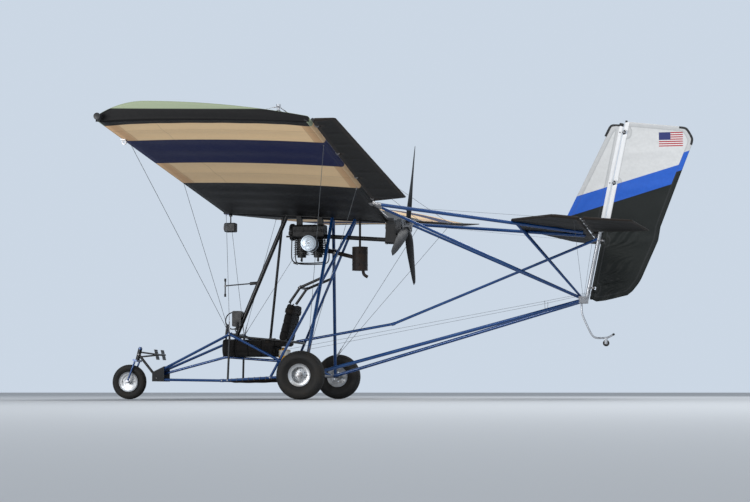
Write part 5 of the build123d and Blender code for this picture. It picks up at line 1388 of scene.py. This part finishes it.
wires = []
kingpost_top = station(-0.420, 0, 2.820)
for side in (-1, 1):
    knee = station(-0.820, side * 0.270, 0.615)
    stay_foot = station(0.0139, side * 0.6201, 0.400)
    for drop, y in ((0, 3.45), (0.030, 1.75)):
        front = spar_spot(le_root, le_tip, y, side)
        rear = spar_spot(te_root, te_tip, y, side)
        perch = kingpost_top - upward * drop
        wires += [(knee, front, 0.027), (stay_foot, rear, 0.027), (perch, front, 0.044),
                  (perch, rear, 0.044)]
    wires.append((knee, spar_spot(le_root, le_tip, 0.07, side), 0.027))
for x in (-0.920, 0.682):
    wires.append((root_axis(x), kingpost_top - upward * 0.060, 0.0285))
screw_parts = ((0.016, 0.052, 0.0036, 10), (0.050, 0.062, 0.0058, 6), (0.062, 0.118, 0.0050, 12, 0.001),
               (0.118, 0.130, 0.0058, 6), (0.130, 0.175, 0.0033, 10))
screws = []
for start, end, short_of_end in wires:
    way = (end - start).normalized()
    screws += [axial(start, way, *part) for part in screw_parts]
    screws.append(axial(end, way, -short_of_end - 0.028, -short_of_end, 0.0040, 12, 0.001))
fitting("stay_screws", "airframe", plated_steel, screws)

# Control wires: two thin cables run from the pod back through a guide each to the rudder horn. Two
# light wires on each side brace the stabiliser's tip.
cable = finish_of("cable", (0.13, 0.135, 0.14), (0.07, 0.07, 0.07), 0.4, metallic=0.9, patch=40.0)
wire_r = 0.0013


def cut_along(bar, way, cuts):
    """Cut a thin bar across into short lengths."""
    bpy.ops.object.mode_set(mode="EDIT")
    bpy.ops.mesh.select_all(action="DESELECT")
    bpy.ops.object.mode_set(mode="OBJECT")
    turn = bar.matrix_world.to_3x3()
    for edge in bar.data.edges:
        low, high = (bar.data.vertices[index].co for index in edge.vertices)
        edge.select = abs((turn @ (high - low)).normalized().dot(way)) > 0.99
    bpy.ops.object.mode_set(mode="EDIT")
    bpy.ops.mesh.subdivide(number_cuts=cuts)
    bpy.ops.object.mode_set(mode="OBJECT")


for side, hand in hands:
    guide = station(2.150, side * 0.1650, 0.905)
    end = station(2.592, side * 0.084, 0.9937)
    run = end - guide
    way = run.normalized()
    rod(station(-0.250, side * 0.300, 0.470), guide, wire_r, 8)
    shaped(f"rudder_wire_{hand}", "airframe", cable)
    # The last length, from the guide to the horn, is cut into short lengths and left without a body.
    cut_along(rod(guide, end, wire_r, 8), way, 24)
    last = shaped(f"rudder_wire_end_{hand}", "", cable)
    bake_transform(last)
    fitting(f"wire_guide_{hand}", "airframe", plated_steel,
            [ring_at(guide, way, 0.0060, 0.0016, 20, 8),
             rod(guide - upward * 0.004, station(2.150, side * 0.1390, 0.8220), 0.0020, 8)])
bars = []
for side in (-1, 1):
    bars += [rod(station(2.500, side * 1.240, 1.545), station(2.495, side * 0.085, 0.960), wire_r, 8),
             rod(station(2.330, side * 1.200, 1.580), station(0.760, side * 0.950, 1.735), 0.0011, 8)]
fitting("tail_wires", "airframe", cable, bars)

# Tail skid: a bright tube bent in easy curves under the tail joint. A small fork welded to its low
# end holds the little wheel on a pin.
skid_x_z = ((2.478, 0.900), (2.478, 0.820), (2.487, 0.775), (2.545, 0.645), (2.565, 0.605), (2.590, 0.575),
            (2.627, 0.567), (2.704, 0.568), (2.735, 0.580), (2.771, 0.602))
wheel_pin = station(2.700, 0, 0.521)
bars = [bent_rod([station(x, 0, z) for x, z in skid_x_z], 0.009, 8),
        block(wheel_pin + upward * 0.046, (0.026, 0.030, 0.016), 0.0012),
        axial(wheel_pin, right, -0.017, 0.017, 0.004, 24, 0.0008)]
for side in (-1, 1):
    bars.append(block(wheel_pin + Vector((0, side * 0.0135, 0.0213)), (0.026, 0.004, 0.064), 0.0012))
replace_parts(fitting("bent_skid", "airframe", bare_alloy, bars), "tail_skid")
bpy.ops.mesh.primitive_uv_sphere_add(segments=24, ring_count=12, radius=0.0096,
                                     location=station(2.771, 0, 0.602))
shaped("skid_end_plug", "airframe", cap_rubber)


# Controls: black rubber grips with raised rings, a thin hoop ahead of the instrument pod, and round
# dials with plain ticks on the pod's rear face.
black_plastic = finish_of("black_plastic", (0.007, 0.007, 0.0075), (0.028, 0.028, 0.028), 0.45, patch=20.0)
dress(black_plastic, "instrument_pod", "front_light", "hand_controls")
lever_foot = station(-0.765, -0.200, 0.5925)
stick_top = station(-0.910, 0, 0.720)
stick_way = (stick_top - station(-0.950, 0, 0.398)).normalized()
grips = [(lever_foot + upward * (0.070 + 0.0075 * number), upward) for number in range(9)]
grips += [(stick_top - stick_way * (0.012 + 0.0085 * number), stick_way) for number in range(11)]
fitting("grip_rings", "airframe", cap_rubber,
        [ring_at(spot, way, 0.0150, 0.0016, 28, 8) for spot, way in grips])
hoop = station(-0.862, 0, 0.752)
fitting("hoop", "airframe", black_enamel,
        [ring_at(hoop, Vector((0.25, 0.96, 0)), 0.080, 0.0055, 64, 12),
         rod(hoop + Vector((0.020, 0, -0.078)), station(-0.822, 0, 0.628), 0.0050, 12)])

dial_white = finish_of("dial_white", (0.55, 0.55, 0.52), (0.42, 0.42, 0.40), 0.4, patch=60.0)
pod_z = 0.770
# The pod hangs ahead of the down tube, which leans back by 0.490 m over its height.
pod_x = -0.820 + (pod_z - 0.615) / (1.7648 - 0.615) * 0.490 - 0.058


def ray(degrees):
    """Way across a dial's face at an angle."""
    return Vector((0, math.cos(math.radians(degrees)), math.sin(math.radians(degrees))))


for number, (y, z, radius) in enumerate(((-0.0304, 0.040, 0.0240), (0.0304, 0.040, 0.0240),
                                         (0.0, -0.030, 0.0230))):
    face = station(pod_x + 0.0430, y, pod_z + z)
    bars = [ring_at(face + aft * 0.001, aft, radius, 0.0022, 40, 8)]
    bars += [axial(face + aft * 0.0008, ray(30 * tick), radius * 0.68, radius * 0.88, 0.0007, 6)
             for tick in range(12)]
    bars.append(axial(face + aft * 0.0016, ray(65 + 70 * number), 0, radius * 0.8, 0.0009, 6))
    fitting(f"dial_{number + 1}", "airframe", dial_white, bars)

# Front light: red glass in a bright bezel on the front of its box, with two screws, and the clip
# that hangs the box from the root tube.
red_glass = finish_of("red_glass", (0.22, 0.012, 0.010), (0.12, 0.010, 0.009), 0.12, coat=1.0, patch=40.0)
front = station(-0.945, 0, 1.652)
axial(front, aft, 0.002, -0.009, 0.030, 48, 0.006)
shaped("light_glass", "airframe", red_glass)
bars = [ring_at(front - aft * 0.001, aft, 0.0325, 0.0035, 56, 10)]
for side in (-1, 1):
    screw = front + Vector((0, side * 0.036, 0.030))
    bars.append(axial(screw, aft, 0.001, -0.002, 0.0035, 16))
fitting("light_bezel", "airframe", plated_steel, bars)
stem = root_axis(-0.889)
fitting("light_clip", "airframe", black_enamel,
        [axial(stem - upward * 0.0005, aft, -0.016, 0.016, 0.0300, 40, 0.002),
         block(stem - upward * 0.036, (0.028, 0.030, 0.016), 0.003)])

# Fuel bottle: moulded yellow plastic with a white upper half and a ribbed screw cap.
bottle_plastic, tree, slubs = cloth_base("bottle_plastic", 0.38, threads=30.0, relief=0.05)
tone = blended(tree, slubs, (0.62, 0.30, 0.015, 1), (0.80, 0.42, 0.03, 1))
coloured(tree, blended(tree, within(tree, place_of(tree)[2], 0.415, 0.465), tone, (0.66, 0.66, 0.62, 1)))
dress(bottle_plastic, "fuel_bottle")
# The bottle stands on the centre tube, which falls from 0.405 to 0.358 m over 0.625 m.
bottle_floor = 0.405 + (0.358 - 0.405) * (-0.345 + 0.925) / 0.625 + 0.0097
cap = station(-0.345, -0.050, bottle_floor + 0.100)
cap_r = 0.0212
bars = [axial(cap, upward, 0, 0.0215, cap_r, 40, 0.002)]
for number in range(20):
    angle = 2 * math.pi * number / 20
    spot = cap + Vector((math.cos(angle), math.sin(angle), 0)) * (cap_r + 0.0003)
    bars.append(axial(spot, upward, 0.002, 0.0200, 0.0016, 8))
fitting("bottle_cap", "airframe", cap_rubber, bars)

# Pitot boom: a short sleeve at its top and a clamp ring on its bar.
pitot = station(-0.940, 0, 0)
fitting("pitot_clamp", "airframe", plated_steel,
        [axial(pitot, upward, 1.081, 1.099, 0.0105, 24, 0.002),
         ring_at(pitot + upward * 0.986, upward, 0.0085, 0.0025, 24, 8)])

# Pedals: ribbed rubber treads on the foot plates, which lean forward, and black plugs in the ends of
# their bar and of the skid.
pedal_x = -1.586
pedal_z = 0.428
bars = []
for side in (-1, 1):
    for number in range(6):
        rise = 0.016 * number - 0.040
        x = pedal_x + 0.0055 - rise * math.tan(math.radians(14))
        bars.append(block(station(x, side * 0.105, pedal_z + rise), (0.004, 0.080, 0.006), 0.001))
fitting("pedal_treads", "airframe", cap_rubber, bars)
bars = [axial(station(pedal_x, 0, pedal_z), right * side, 0.146, 0.158, 0.0112, 24, 0.003)
        for side in (-1, 1)]
bars.append(rod(station(2.760, 0, 0.5965), station(2.777, 0, 0.6050), 0.0102, 24, 0.003))
fitting("tube_plugs", "airframe", cap_rubber, bars)

# Stern post's sleeve: white cloth round the post above the stabiliser, under a rubber cap.
sleeve_cloth, tree, slubs = cloth_base("sleeve_cloth", 0.5)
coloured(tree, blended(tree, slubs, (0.80, 0.81, 0.82, 1), (0.92, 0.93, 0.94, 1)))
post_base = rudder_foot - aft * post_gap
sleeve_low, sleeve_top = (post_base + rudder_up * ((z - hinge_foot.y) / rudder_up.z) for z in (1.600, 2.536))
rod(sleeve_low, sleeve_top, 0.0206, 40, 0.001)
shaped("post_sleeve", "airframe", sleeve_cloth)
axial(sleeve_top, rudder_up, -0.001, 0.030, 0.0212, 32, 0.006)
shaped("post_cap", "airframe", cap_rubber)


# Studio: a plain pale floor, soft light from above, and the camera at floor level.
bpy.ops.mesh.primitive_plane_add(size=400, location=(0, 0, 0))
floor = bpy.context.object
floor.name = "floor"
floor_paint = bpy.data.materials.new("floor_paint")
floor_paint.use_nodes = True
shader = floor_paint.node_tree.nodes["Principled BSDF"]
shader.inputs["Base Color"].default_value = (0.55, 0.58, 0.61, 1)
shader.inputs["Roughness"].default_value = 0.95
floor.data.materials.append(floor_paint)

world = bpy.data.worlds.new("studio")
bpy.context.scene.world = world
world.use_nodes = True
tree = world.node_tree
background = tree.nodes["Background"]
seen = joined(tree, "ShaderNodeLightPath")
either = sum_of(tree, "MAXIMUM", seen.outputs["Is Camera Ray"], seen.outputs["Is Glossy Ray"])
tree.links.new(blended(tree, either, (0.44, 0.46, 0.49, 1), (0.60, 0.68, 0.78, 1)), background.inputs[0])
background.inputs[1].default_value = 1.0

for name, place, size, power in (("key", (5, -10, 11), 5, 1100), ("fill", (-5, -9, 0.9), 5, 640),
                                 ("rim", (4, 10, 9), 6, 480)):
    bpy.ops.object.light_add(type="AREA", location=place)
    lamp = bpy.context.object
    lamp.name = name
    lamp.data.size = size
    lamp.data.energy = power
    lamp.rotation_euler = (Vector((0, 0, 1.4)) - Vector(place)).to_track_quat("-Z", "Y").to_euler()

# The fill lamp stands low beside the aircraft, so it is kept off the floor next to it.
lit = bpy.data.collections.new("lit_by_fill")
for piece in bpy.context.scene.objects:
    if piece.type == "MESH" and piece != floor:
        lit.objects.link(piece)
bpy.data.objects["fill"].light_linking.receiver_collection = lit

# The camera looks from the left side and a little from behind. The target's place in the picture is
# given by its distances from the picture's middle in pixels.
target = station(0.8, 0, 1.5)
distance = 17.0
bearing = math.radians(9.54)
picture_width = 750
pixels_per_metre = 105.5
pixels_right = 28.3
pixels_up = 10.3
sensor_width = 36
camera_place = target + Vector((math.sin(bearing), -math.cos(bearing), 0)) * distance
camera_place.z = 0.07
bpy.ops.object.camera_add(location=camera_place)
camera = bpy.context.object
sight = (target - camera_place).length
camera.data.sensor_width = sensor_width
camera.data.lens = sensor_width * pixels_per_metre * sight / picture_width
across = Vector((math.cos(bearing), math.sin(bearing), 0))
aim = target - across * (pixels_right / pixels_per_metre) - upward * (pixels_up / pixels_per_metre)
camera.rotation_mode = "QUATERNION"
camera.rotation_quaternion = (aim - camera_place).to_track_quat("-Z", "Y")
camera.data.clip_end = 600
bpy.context.scene.camera = camera
bpy.context.scene.view_settings.view_transform = "Standard"
